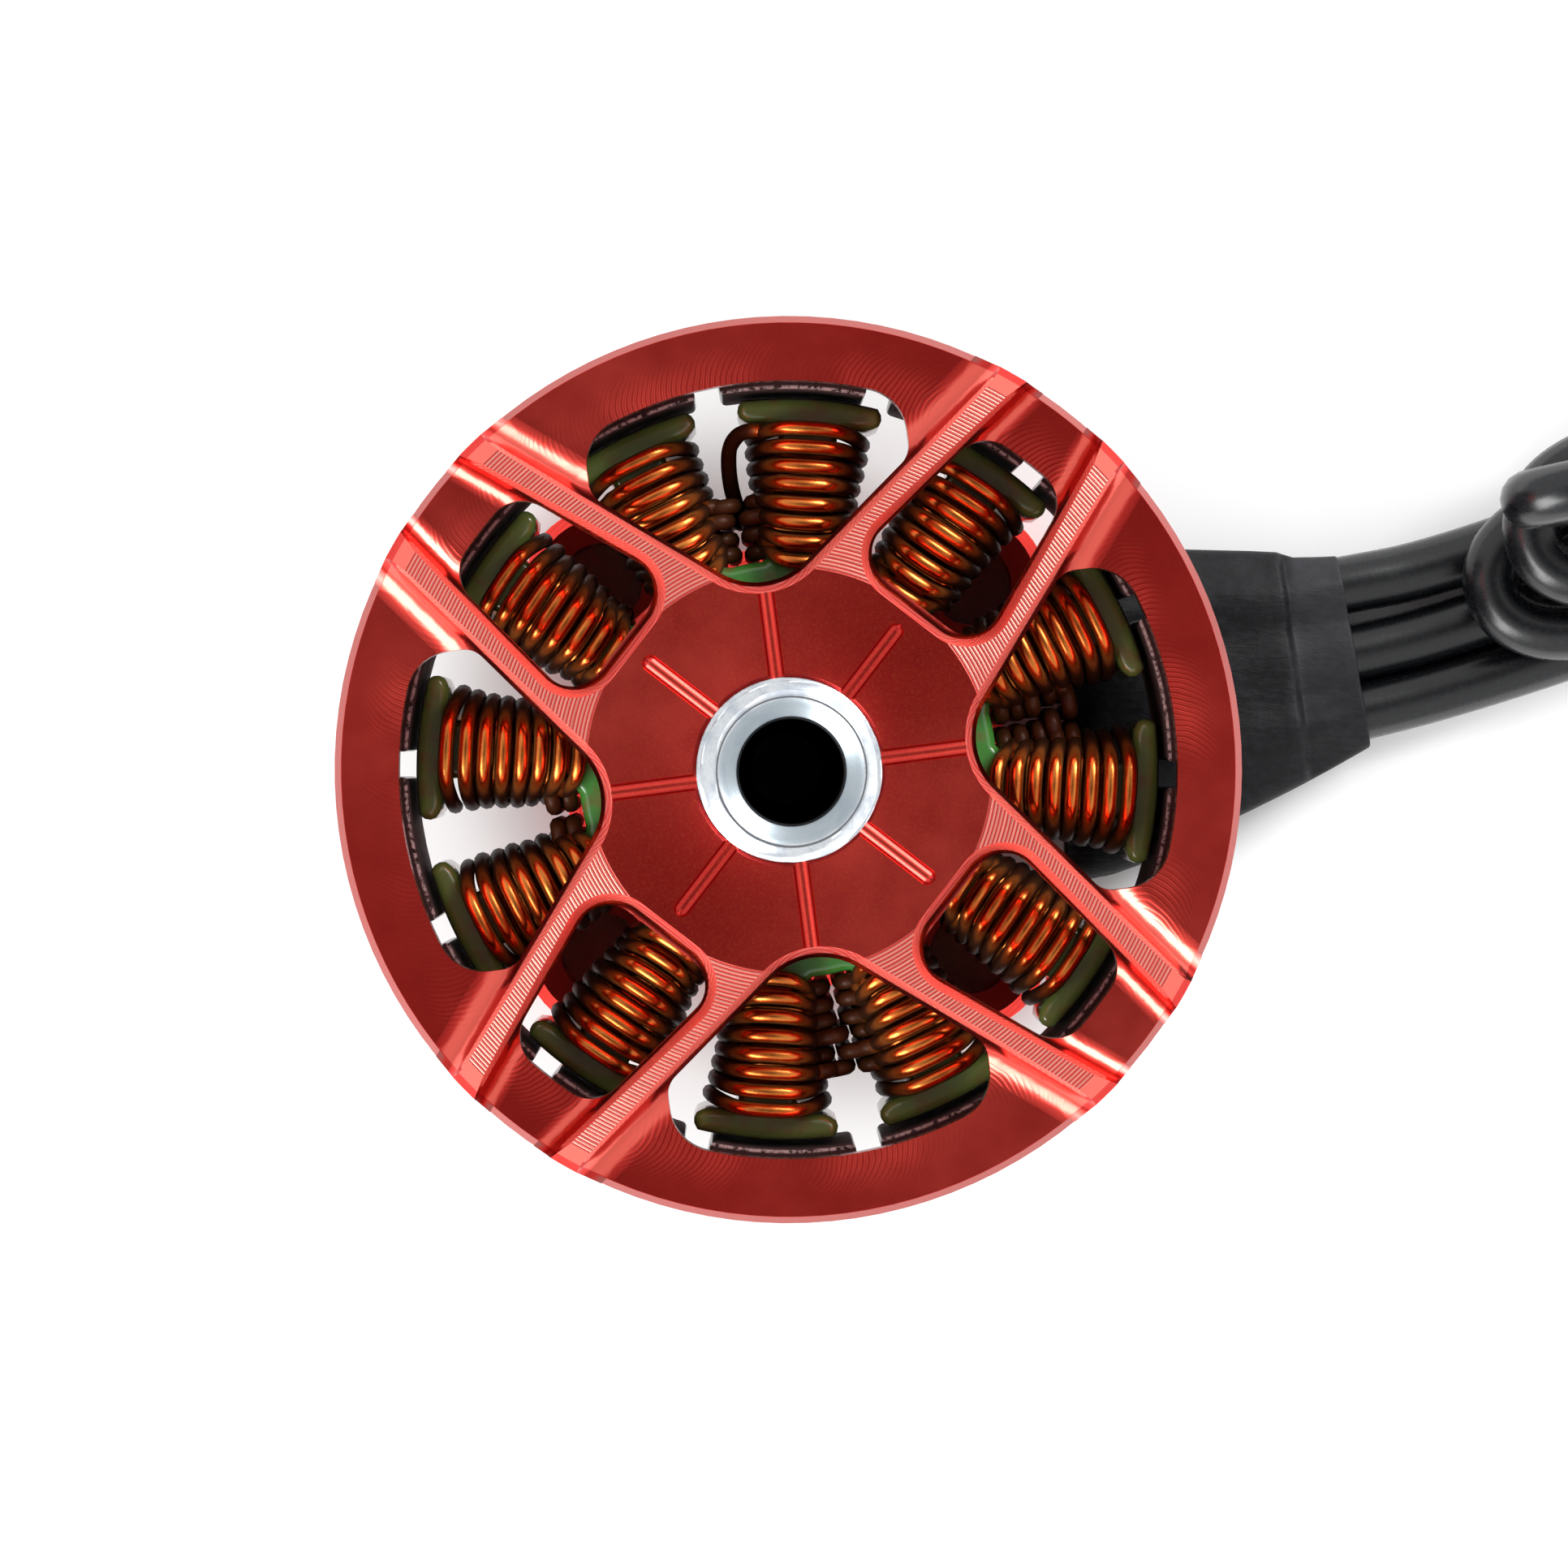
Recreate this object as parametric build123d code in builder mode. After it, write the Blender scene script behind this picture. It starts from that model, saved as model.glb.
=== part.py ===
from build123d import *
import os
from math import cos, sin, tan, radians, degrees, pi, sqrt

# Brushless outrunner motor, 22 mm stator class, 12 slots and 14 magnets.
# Millimetres. +Z is the shaft axis and points to the propeller end.
# The origin is the centre of the mounting face, on the shaft axis.
# The three leads leave towards +X.

os.makedirs("parts", exist_ok=True)

# ---------------------------------------------------------------- base
base_t = 2.6            # thickness of the mounting arms
base_hub_r = 6.8        # round boss that the arms grow from
arm_w = 4.7             # arm width, also the diameter of its rounded end
bolt_circle_d = 16.0    # M3 mounting holes
bolt_r = 1.25           # M3 tapped hole, minor radius
arm_angle = 45.0
tube_r = 5.1            # bearing tube, the stator's seat
tube_step_r = 5.65      # shoulder under the stator
tube_top = 13.2

# ------------------------------------------------------------ bearings, 4 x 9 x 4
brg_bore_r = 2.0
brg_out_r = 4.5
brg_w = 4.0
brg_low_z = 1.0
brg_up_z = tube_top - brg_w
brg_inner_land_r = 2.75
brg_outer_land_r = 3.75
ball_r = 0.79
ball_pitch_r = 3.25
ball_count = 7
race_r = 0.82
shield_t = 0.18

# -------------------------------------------------------------- stator
stator_r = 11.0
stator_low_z = 5.7
stator_top_z = 11.7
slot_count = 12
tooth_angle0 = 26.5     # direction of the first tooth
tooth_w = 1.7
yoke_r = 6.2
shoe_half_deg = 11.25
coil_in_r = 6.36
coil_out_r = 10.12
coil_low_z = 4.15
coil_top_z = 13.3

# --------------------------------------------------------------- rotor
bell_angle = 7.4        # direction offset of the wide windows
bell_r = 13.25
flux_in_r = 12.3
flux_low_z = 4.6
flux_top_z = 13.4
magnet_in_r = 11.17
magnet_low_z = 4.95
magnet_top_z = 12.8
magnet_count = 14
magnet_half_deg = 10.95
magnet_angle0 = 89.25
spigot_low_z = 12.9
window_out_r = 11.37
web_low_z = 14.2        # underside of the spokes
rim_z = 15.3            # top of the low rim between the spokes
hub_z = 17.6            # propeller seat
hub_r = 5.88
spoke_end_r = 12.56
spoke_end_z = 16.65
boss_low_z = 13.5
boss_r = 3.1
draft = 7.5             # draft of the pocket walls, degrees

# spoke edges, measured with a wide window pointing along +Y
spoke_slope = 0.785     # dy/dx of a spoke edge beside a wide window
wide_foot_y = 4.894     # where the two pocket walls of a wide window would meet
wide_edge_y = 4.965     # the same for the window edge
wide_half_x = 4.71

# --------------------------------------------------------------- shaft
shaft_r = 2.5           # M5 thread
shaft_press_r = 2.7     # pressed part inside the bell
journal_r = 2.0
shaft_low_z = 0.35
shaft_top_z = 30.6
shaft_bore_r = 1.45

# --------------------------------------------------------------- leads
wire_d = 1.8
wire_r = wire_d / 2
lead_z = 1.35           # centre height inside the sleeve
floor_z = 0.95          # centre height where a lead lies flat
hank_dir = 18.0         # direction of the folded hank
hank_x, hank_y = 20.3, 4.45
hank_len = 48.3
hank_h = 7.3


# ====================================================================
# Base: bearing tube, round boss and four arms with tapped holes
# ====================================================================
with BuildPart() as base:
    with BuildSketch():
        Circle(base_hub_r)
        with PolarLocations(bolt_circle_d / 4, 4, start_angle=arm_angle):
            Rectangle(bolt_circle_d / 2, arm_w)
        with PolarLocations(bolt_circle_d / 2, 4, start_angle=arm_angle):
            Circle(arm_w / 2)
    extrude(amount=base_t)
    chamfer(base.faces().sort_by(Axis.Z)[-1].outer_wire().edges(), 0.35)
    chamfer(base.faces().sort_by(Axis.Z)[0].outer_wire().edges(), 0.2)
    with BuildSketch(Plane.XZ):
        with BuildLine():
            Polyline(
                (0, base_t - 0.4),
                (6.5, base_t - 0.4),
                (6.5, base_t),
                (tube_step_r, base_t + 0.8),
                (tube_step_r, stator_low_z),
                (tube_r, stator_low_z),
                (tube_r, tube_top - 0.2),
                (tube_r - 0.2, tube_top),
                (0, tube_top),
                close=True,
            )
        make_face()
    revolve(axis=Axis.Z)
    # bearing seats from both ends, with shoulders, and the open bore between
    with BuildSketch(Plane.XZ):
        with BuildLine():
            Polyline(
                (0, -0.5),
                (brg_out_r + 0.2, -0.5),
                (brg_out_r + 0.2, 0.0),
                (brg_out_r, 0.2),
                (brg_out_r, brg_low_z + brg_w),
                (brg_out_r - 0.45, brg_low_z + brg_w),
                (brg_out_r - 0.45, brg_up_z),
                (brg_out_r, brg_up_z),
                (brg_out_r, tube_top + 0.5),
                (0, tube_top + 0.5),
                close=True,
            )
        make_face()
    revolve(axis=Axis.Z, mode=Mode.SUBTRACT)
    with BuildSketch(Plane.XY.offset(-0.5)):
        with PolarLocations(bolt_circle_d / 2, 4, start_angle=arm_angle):
            Circle(bolt_r)
    extrude(amount=base_t + 1.0, mode=Mode.SUBTRACT)
base.part.label = "base"
export_step(base.part, "parts/base.step")


# ====================================================================
# Bearings: rings, shields, balls and cage for each end
# ====================================================================
def ring_mid(z0):
    return z0 + brg_w / 2


with BuildPart() as lower_bearing_outer_ring:
    with BuildSketch(Plane.XZ):
        with Locations(((brg_outer_land_r + brg_out_r) / 2, ring_mid(brg_low_z))):
            Rectangle(brg_out_r - brg_outer_land_r, brg_w)
        with Locations((ball_pitch_r, ring_mid(brg_low_z))):
            Circle(race_r, mode=Mode.SUBTRACT)
        # rebates that hold the shields
        for s in (-1, 1):
            with Locations((brg_outer_land_r, ring_mid(brg_low_z) + s * (brg_w / 2 - 0.2))):
                Rectangle(0.3, 0.4, mode=Mode.SUBTRACT)
    revolve(axis=Axis.Z)
lower_bearing_outer_ring.part.label = "lower_bearing_outer_ring"
export_step(lower_bearing_outer_ring.part, "parts/lower_bearing_outer_ring.step")

with BuildPart() as upper_bearing_outer_ring:
    with BuildSketch(Plane.XZ):
        with Locations(((brg_outer_land_r + brg_out_r) / 2, ring_mid(brg_up_z))):
            Rectangle(brg_out_r - brg_outer_land_r, brg_w)
        with Locations((ball_pitch_r, ring_mid(brg_up_z))):
            Circle(race_r, mode=Mode.SUBTRACT)
        for s in (-1, 1):
            with Locations((brg_outer_land_r, ring_mid(brg_up_z) + s * (brg_w / 2 - 0.2))):
                Rectangle(0.3, 0.4, mode=Mode.SUBTRACT)
    revolve(axis=Axis.Z)
upper_bearing_outer_ring.part.label = "upper_bearing_outer_ring"
export_step(upper_bearing_outer_ring.part, "parts/upper_bearing_outer_ring.step")

with BuildPart() as lower_bearing_inner_ring:
    with BuildSketch(Plane.XZ):
        with Locations(((brg_bore_r + brg_inner_land_r) / 2, ring_mid(brg_low_z))):
            Rectangle(brg_inner_land_r - brg_bore_r, brg_w)
        with Locations((ball_pitch_r, ring_mid(brg_low_z))):
            Circle(race_r, mode=Mode.SUBTRACT)
    revolve(axis=Axis.Z)
lower_bearing_inner_ring.part.label = "lower_bearing_inner_ring"
export_step(lower_bearing_inner_ring.part, "parts/lower_bearing_inner_ring.step")

with BuildPart() as upper_bearing_inner_ring:
    with BuildSketch(Plane.XZ):
        with Locations(((brg_bore_r + brg_inner_land_r) / 2, ring_mid(brg_up_z))):
            Rectangle(brg_inner_land_r - brg_bore_r, brg_w)
        with Locations((ball_pitch_r, ring_mid(brg_up_z))):
            Circle(race_r, mode=Mode.SUBTRACT)
    revolve(axis=Axis.Z)
upper_bearing_inner_ring.part.label = "upper_bearing_inner_ring"
export_step(upper_bearing_inner_ring.part, "parts/upper_bearing_inner_ring.step")

with BuildPart() as lower_bearing_shields:
    for s in (-1, 1):
        with BuildSketch(Plane.XY.offset(ring_mid(brg_low_z) + s * (brg_w / 2 - 0.2) - shield_t / 2)):
            Circle(brg_outer_land_r + 0.15)
            Circle(brg_inner_land_r + 0.12, mode=Mode.SUBTRACT)
        extrude(amount=shield_t)
lower_bearing_shields.part.label = "lower_bearing_shields"
export_step(lower_bearing_shields.part, "parts/lower_bearing_shields.step")

with BuildPart() as upper_bearing_shields:
    for s in (-1, 1):
        with BuildSketch(Plane.XY.offset(ring_mid(brg_up_z) + s * (brg_w / 2 - 0.2) - shield_t / 2)):
            Circle(brg_outer_land_r + 0.15)
            Circle(brg_inner_land_r + 0.12, mode=Mode.SUBTRACT)
        extrude(amount=shield_t)
upper_bearing_shields.part.label = "upper_bearing_shields"
export_step(upper_bearing_shields.part, "parts/upper_bearing_shields.step")

with BuildPart() as lower_bearing_balls:
    with BuildSketch(Plane.XZ) as ball_profile_low:
        with Locations((ball_pitch_r, ring_mid(brg_low_z))):
            Circle(ball_r)
            with Locations((-ball_r, 0)):
                Rectangle(2 * ball_r, 2 * ball_r, mode=Mode.SUBTRACT)
    revolve(axis=Axis((ball_pitch_r, 0, 0), (0, 0, 1)))
    with PolarLocations(0, ball_count - 1, start_angle=360 / ball_count, angular_range=360 - 2 * 360 / ball_count, endpoint=True):
        add(lower_bearing_balls.part)
lower_bearing_balls.part.label = "lower_bearing_balls"
export_step(lower_bearing_balls.part, "parts/lower_bearing_balls.step")

with BuildPart() as upper_bearing_balls:
    with BuildSketch(Plane.XZ) as ball_profile_up:
        with Locations((ball_pitch_r, ring_mid(brg_up_z))):
            Circle(ball_r)
            with Locations((-ball_r, 0)):
                Rectangle(2 * ball_r, 2 * ball_r, mode=Mode.SUBTRACT)
    revolve(axis=Axis((ball_pitch_r, 0, 0), (0, 0, 1)))
    with PolarLocations(0, ball_count - 1, start_angle=360 / ball_count, angular_range=360 - 2 * 360 / ball_count, endpoint=True):
        add(upper_bearing_balls.part)
upper_bearing_balls.part.label = "upper_bearing_balls"
export_step(upper_bearing_balls.part, "parts/upper_bearing_balls.step")

with BuildPart() as lower_bearing_cage:
    with BuildSketch(Plane.XY.offset(ring_mid(brg_low_z) - 1.05)):
        Circle(ball_pitch_r + 0.28)
        Circle(ball_pitch_r - 0.28, mode=Mode.SUBTRACT)
    extrude(amount=2.1)
    with Locations((0, 0, ring_mid(brg_low_z))):
        with PolarLocations(ball_pitch_r, ball_count):
            Cylinder(ball_r + 0.04, 1.2, rotation=(0, 90, 0), mode=Mode.SUBTRACT)
lower_bearing_cage.part.label = "lower_bearing_cage"
export_step(lower_bearing_cage.part, "parts/lower_bearing_cage.step")

with BuildPart() as upper_bearing_cage:
    with BuildSketch(Plane.XY.offset(ring_mid(brg_up_z) - 1.05)):
        Circle(ball_pitch_r + 0.28)
        Circle(ball_pitch_r - 0.28, mode=Mode.SUBTRACT)
    extrude(amount=2.1)
    with Locations((0, 0, ring_mid(brg_up_z))):
        with PolarLocations(ball_pitch_r, ball_count):
            Cylinder(ball_r + 0.04, 1.2, rotation=(0, 90, 0), mode=Mode.SUBTRACT)
upper_bearing_cage.part.label = "upper_bearing_cage"
export_step(upper_bearing_cage.part, "parts/upper_bearing_cage.step")


# ====================================================================
# Stator core: twelve teeth with curved shoes round a yoke
# ====================================================================
def polar(r, deg):
    return (r * cos(radians(deg)), r * sin(radians(deg)))


with BuildSketch(mode=Mode.PRIVATE) as shoe_face:
    with BuildLine():
        tip_a = polar(stator_r, -shoe_half_deg)
        tip_b = polar(stator_r, shoe_half_deg)
        ThreePointArc(tip_a, (stator_r, 0), tip_b)
        Polyline(
            tip_b,
            polar(10.42, shoe_half_deg),
            (10.12, tooth_w / 2),
            (10.12, -tooth_w / 2),
            polar(10.42, -shoe_half_deg),
            tip_a,
        )
    make_face()
    fillet(shoe_face.vertices().filter_by(lambda v: abs(v.Y) > 1.9), 0.2)

with BuildPart() as stator_core:
    with BuildSketch(Plane.XY.offset(stator_low_z)):
        Circle(yoke_r)
        with PolarLocations((yoke_r + 10.3) / 2 - 0.2, slot_count, start_angle=tooth_angle0):
            Rectangle(10.3 - yoke_r + 0.4, tooth_w)
        with PolarLocations(0, slot_count, start_angle=tooth_angle0):
            add(shoe_face.sketch)
        Circle(tube_r, mode=Mode.SUBTRACT)
    extrude(amount=stator_top_z - stator_low_z)
stator_core.part.label = "stator_core"
export_step(stator_core.part, "parts/stator_core.step")


# ====================================================================
# Windings: one closed coil round each tooth, four coils per phase
# ====================================================================
with BuildPart() as coil_form:
    with BuildSketch(Plane.XY.offset(coil_low_z)):
        with BuildLine():
            Polyline(
                (coil_in_r, -1.45),
                (coil_out_r, -1.95),
                (coil_out_r, 1.95),
                (coil_in_r, 1.45),
                close=True,
            )
        make_face()
    extrude(amount=coil_top_z - coil_low_z)
    fillet(
        coil_form.faces().sort_by(Axis.Z)[-1].edges().filter_by(lambda e: abs(e.tangent_at(0.5).X) > 0.8)
        + coil_form.faces().sort_by(Axis.Z)[0].edges().filter_by(lambda e: abs(e.tangent_at(0.5).X) > 0.8),
        1.15,
    )
    with Locations(((coil_in_r + coil_out_r) / 2, 0, (stator_low_z + stator_top_z) / 2)):
        Box(10, tooth_w, stator_top_z - stator_low_z, mode=Mode.SUBTRACT)


def tooth_turn(k):
    return Location((0, 0, 0), (0, 0, tooth_angle0 + 30 * k))


with BuildPart() as winding_phase_a:
    with Locations(tooth_turn(0), tooth_turn(1), tooth_turn(6), tooth_turn(7)):
        add(coil_form.part)
winding_phase_a.part.label = "winding_phase_a"
export_step(winding_phase_a.part, "parts/winding_phase_a.step")

with BuildPart() as winding_phase_b:
    with Locations(tooth_turn(2), tooth_turn(3), tooth_turn(8), tooth_turn(9)):
        add(coil_form.part)
winding_phase_b.part.label = "winding_phase_b"
export_step(winding_phase_b.part, "parts/winding_phase_b.step")

with BuildPart() as winding_phase_c:
    with Locations(tooth_turn(4), tooth_turn(5), tooth_turn(10), tooth_turn(11)):
        add(coil_form.part)
winding_phase_c.part.label = "winding_phase_c"
export_step(winding_phase_c.part, "parts/winding_phase_c.step")


# ====================================================================
# Bell: turned disc, milled spokes, eight windows, grooved seat
# ====================================================================
with BuildPart() as wide_pocket:
    with BuildSketch(Plane.XY.offset(rim_z)) as wide_foot:
        with BuildLine():
            Polyline(
                (0, wide_foot_y),
                (12, wide_foot_y + 12 * spoke_slope),
                (12, 18),
                (-12, 18),
                (-12, wide_foot_y + 12 * spoke_slope),
                close=True,
            )
        make_face()
        fillet(wide_foot.vertices().sort_by(Axis.Y)[0], 2.1)
    extrude(amount=4, taper=-draft)
    fillet(
        wide_pocket.faces().sort_by(Axis.Z)[0].edges().filter_by(lambda e: e.center().Y < 15.5 and abs(e.center().X) < 11.5),
        1.05,
    )

small_foot_s0, small_foot_s1 = 5.95, 16.0


def small_half(s):
    return 2.052 - 0.1402 * (s - 7.955)


with BuildPart() as small_pocket:
    with BuildSketch(Plane.XY.offset(rim_z)) as small_foot:
        with BuildLine():
            Polyline(
                (-small_half(small_foot_s0), small_foot_s0),
                (small_half(small_foot_s0), small_foot_s0),
                (small_half(small_foot_s1), small_foot_s1),
                (-small_half(small_foot_s1), small_foot_s1),
                close=True,
            )
        make_face()
        fillet(small_foot.vertices().group_by(Axis.Y)[0], 1.15)
    extrude(amount=4, taper=-draft)
    fillet(
        small_pocket.faces().sort_by(Axis.Z)[0].edges().filter_by(lambda e: e.center().Y < small_foot_s1 - 0.2),
        0.78,
    )

with BuildSketch(mode=Mode.PRIVATE) as wide_window:
    with BuildLine():
        y_arc = sqrt(window_out_r**2 - wide_half_x**2)
        y_rib = wide_edge_y + wide_half_x * spoke_slope
        ThreePointArc((-wide_half_x, y_arc), (0, window_out_r), (wide_half_x, y_arc))
        Polyline(
            (wide_half_x, y_arc),
            (wide_half_x, y_rib),
            (0, wide_edge_y),
            (-wide_half_x, y_rib),
            (-wide_half_x, y_arc),
        )
    make_face()
    fillet(wide_window.vertices().group_by(Axis.Y)[-1], 1.4)
    fillet(wide_window.vertices().sort_by(Axis.Y)[0], 2.05)
    fillet(wide_window.vertices().filter_by(lambda v: abs(abs(v.X) - wide_half_x) < 1e-3 and abs(v.Y - y_rib) < 1e-3), 0.8)

win_s0 = 6.12


def window_half(s):
    return 1.985 - 0.136 * (s - 8.2)


with BuildSketch(mode=Mode.PRIVATE) as small_window:
    with BuildLine():
        s_end = 11.27
        w_end = window_half(s_end)
        ThreePointArc((-w_end, s_end), (0, window_out_r), (w_end, s_end))
        Polyline(
            (w_end, s_end),
            (window_half(win_s0), win_s0),
            (-window_half(win_s0), win_s0),
            (-w_end, s_end),
        )
    make_face()
    fillet(small_window.vertices().group_by(Axis.Y)[0], 0.95)
    fillet(small_window.vertices().group_by(Axis.Y)[-1], 1.05)

groove_r = 0.27
groove_depth = 0.15
groove_axis_z = hub_z + groove_r - groove_depth

with BuildPart() as bell:
    with BuildSketch(Plane.XZ):
        with BuildLine():
            Polyline(
                (shaft_press_r, boss_low_z),
                (boss_r, boss_low_z),
                (boss_r, web_low_z),
                (window_out_r - 0.02, web_low_z),
                (window_out_r + 0.25, web_low_z - 0.3),
                (window_out_r + 0.25, spigot_low_z),
                (flux_in_r, spigot_low_z),
                (flux_in_r, flux_top_z),
                (bell_r - 0.12, flux_top_z),
                (bell_r, flux_top_z + 0.12),
                (bell_r, spoke_end_z - 0.75),
                (spoke_end_r, spoke_end_z),
                (hub_r, hub_z),
                (shaft_press_r + 0.1, hub_z),
                (shaft_press_r, hub_z - 0.1),
                close=True,
            )
        make_face()
    revolve(axis=Axis.Z)
    with PolarLocations(0, 4, start_angle=bell_angle):
        add(wide_pocket.part, mode=Mode.SUBTRACT)
    with PolarLocations(0, 4, start_angle=bell_angle + 45):
        add(small_pocket.part, mode=Mode.SUBTRACT)
    # break the outer edge of the low rim
    with BuildSketch(Plane.XZ):
        with BuildLine():
            Polyline(
                (bell_r - 0.2, rim_z + 0.02),
                (bell_r - 0.2, rim_z),
                (bell_r + 0.0, rim_z - 0.22),
                (bell_r + 0.3, rim_z - 0.22),
                (bell_r + 0.3, rim_z + 0.02),
                close=True,
            )
        make_face()
    revolve(axis=Axis.Z, mode=Mode.SUBTRACT)
    with BuildSketch(Plane.XY.offset(web_low_z - 0.6)):
        with PolarLocations(0, 4, start_angle=bell_angle):
            add(wide_window.sketch)
        with PolarLocations(0, 4, start_angle=bell_angle + 45):
            add(small_window.sketch)
    extrude(amount=4, mode=Mode.SUBTRACT)
    # round-bottomed grooves across the propeller seat
    for k in range(4):
        a_long = bell_angle + 90 * k
        a_short = a_long + 45
        with Locations(Location((0, 0, groove_axis_z), (0, 0, a_long))):
            with Locations(Location((4.2, 0, 0), (0, 90, 0))):
                Cylinder(groove_r, 3.6, mode=Mode.SUBTRACT)
        with Locations(Location((0, 0, groove_axis_z), (0, 0, a_short))):
            with Locations(Location((3.7, 0, 0), (0, 90, 0))):
                Cylinder(groove_r, 2.7, mode=Mode.SUBTRACT)
            with Locations((5.05, 0, 0)):
                Sphere(groove_r, mode=Mode.SUBTRACT)
bell.part.label = "bell"
export_step(bell.part, "parts/bell.step")

# Flux ring: the steel can under the bell's rim
with BuildPart() as flux_ring:
    with BuildSketch(Plane.XZ):
        with BuildLine():
            Polyline(
                (flux_in_r, flux_low_z + 0.15),
                (flux_in_r + 0.15, flux_low_z),
                (bell_r - 0.2, flux_low_z),
                (bell_r, flux_low_z + 0.2),
                (bell_r, flux_top_z - 0.12),
                (bell_r - 0.12, flux_top_z),
                (flux_in_r, flux_top_z),
                close=True,
            )
        make_face()
    revolve(axis=Axis.Z)
flux_ring.part.label = "flux_ring"
export_step(flux_ring.part, "parts/flux_ring.step")

# Magnets: curved blocks bonded inside the flux ring, alternating poles
with BuildSketch(mode=Mode.PRIVATE) as magnet_face:
    with BuildLine():
        ThreePointArc(polar(flux_in_r, -magnet_half_deg), (flux_in_r, 0), polar(flux_in_r, magnet_half_deg))
        Line(polar(flux_in_r, magnet_half_deg), polar(magnet_in_r, magnet_half_deg))
        ThreePointArc(polar(magnet_in_r, magnet_half_deg), (magnet_in_r, 0), polar(magnet_in_r, -magnet_half_deg))
        Line(polar(magnet_in_r, -magnet_half_deg), polar(flux_in_r, -magnet_half_deg))
    make_face()
    fillet(magnet_face.vertices().sort_by(Axis.X)[:2], 0.2)

with BuildPart() as magnets_north:
    with BuildSketch(Plane.XY.offset(magnet_low_z)):
        with PolarLocations(0, magnet_count // 2, start_angle=magnet_angle0):
            add(magnet_face.sketch)
    extrude(amount=magnet_top_z - magnet_low_z)
magnets_north.part.label = "magnets_north"
export_step(magnets_north.part, "parts/magnets_north.step")

with BuildPart() as magnets_south:
    with BuildSketch(Plane.XY.offset(magnet_low_z)):
        with PolarLocations(0, magnet_count // 2, start_angle=magnet_angle0 + 360 / magnet_count):
            add(magnet_face.sketch)
    extrude(amount=magnet_top_z - magnet_low_z)
magnets_south.part.label = "magnets_south"
export_step(magnets_south.part, "parts/magnets_south.step")

# Shaft: hollow, threaded diameter above the bell, journal through the bearings
with BuildPart() as shaft:
    with BuildSketch(Plane.XZ):
        with BuildLine():
            Polyline(
                (1.1, shaft_low_z),
                (journal_r - 0.15, shaft_low_z),
                (journal_r - 0.15, 0.45),
                (1.7, 0.45),
                (1.7, 0.8),
                (journal_r, 0.8),
                (journal_r, boss_low_z),
                (shaft_press_r, boss_low_z),
                (shaft_press_r, hub_z - 0.08),
                (shaft_press_r - 0.08, hub_z),
                (shaft_r, hub_z),
                (shaft_r, shaft_top_z - 0.45),
                (shaft_r - 0.4, shaft_top_z),
                (shaft_bore_r + 0.55, shaft_top_z),
                (shaft_bore_r, shaft_top_z - 0.75),
                (shaft_bore_r, boss_low_z + 1.2),
                (1.1, boss_low_z + 0.6),
                close=True,
            )
        make_face()
    revolve(axis=Axis.Z)
shaft.part.label = "shaft"
export_step(shaft.part, "parts/shaft.step")

# Shim between the bell's boss and the upper bearing's inner ring
with BuildPart() as shim_washer:
    with BuildSketch(Plane.XY.offset(tube_top)):
        Circle(2.85)
        Circle(journal_r, mode=Mode.SUBTRACT)
    extrude(amount=boss_low_z - tube_top)
shim_washer.part.label = "shim_washer"
export_step(shim_washer.part, "parts/shim_washer.step")

# Thin washer and open retaining clip under the lower bearing
with BuildPart() as spacer_washer:
    with BuildSketch(Plane.XY.offset(0.8)):
        Circle(2.8)
        Circle(journal_r, mode=Mode.SUBTRACT)
    extrude(amount=0.2)
spacer_washer.part.label = "spacer_washer"
export_step(spacer_washer.part, "parts/spacer_washer.step")

with BuildPart() as retaining_clip:
    with BuildSketch(Plane.XY.offset(0.45)):
        Circle(2.95)
        Circle(1.72, mode=Mode.SUBTRACT)
        with PolarLocations(2.4, 3, start_angle=90):
            SlotOverall(1.1, 0.5, rotation=90, mode=Mode.SUBTRACT)
        with Locations((0, -2.4)):
            Rectangle(2.1, 2.4, mode=Mode.SUBTRACT)
    extrude(amount=0.35)
retaining_clip.part.label = "retaining_clip"
export_step(retaining_clip.part, "parts/retaining_clip.step")


# ====================================================================
# Leads: winding ends, heat-shrink sleeve, three silicone leads, hank
# ====================================================================
ux, uy = cos(radians(hank_dir)), sin(radians(hank_dir))


def hank_pt(u, v):
    return (hank_x + u * ux - v * uy, hank_y + u * uy + v * ux)


lead_start_x = 11.2
lead_names = ("a", "b", "c")
lead_start_y = (4.95, 2.72, 0.50)
lead_mid = ((14.35, 5.10), (14.35, 3.02), (14.35, 1.00))
lead_mouth = ((17.4, 5.68), (17.4, 3.78), (17.4, 1.84))
lead_hank_v = (1.75, -0.08, -1.90)


def lead_route(i):
    hx, hy = hank_pt(0, lead_hank_v[i])
    return [
        (lead_start_x, lead_start_y[i], lead_z),
        (lead_mid[i][0], lead_mid[i][1], lead_z),
        (lead_mouth[i][0], lead_mouth[i][1], lead_z - 0.08),
        (hx, hy, floor_z + 0.06),
    ]


def route_radii(pts):
    out = []
    for i in range(1, len(pts) - 1):
        a = Vector(*pts[i]) - Vector(*pts[i - 1])
        b = Vector(*pts[i + 1]) - Vector(*pts[i])
        turn = a.get_angle(b)
        out.append(0.45 * min(a.length, b.length) / tan(radians(turn / 2)))
    return out


route_a, route_b, route_c = lead_route(0), lead_route(1), lead_route(2)
radii_a, radii_b, radii_c = route_radii(route_a), route_radii(route_b), route_radii(route_c)

with BuildPart() as phase_wire_a:
    with BuildLine() as line_a:
        FilletPolyline(*route_a, radius=radii_a)
    with BuildSketch(Plane(origin=line_a.line @ 0, z_dir=line_a.line % 0)):
        Circle(wire_r)
    sweep()
phase_wire_a.part.label = "phase_wire_a"
export_step(phase_wire_a.part, "parts/phase_wire_a.step")

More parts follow.
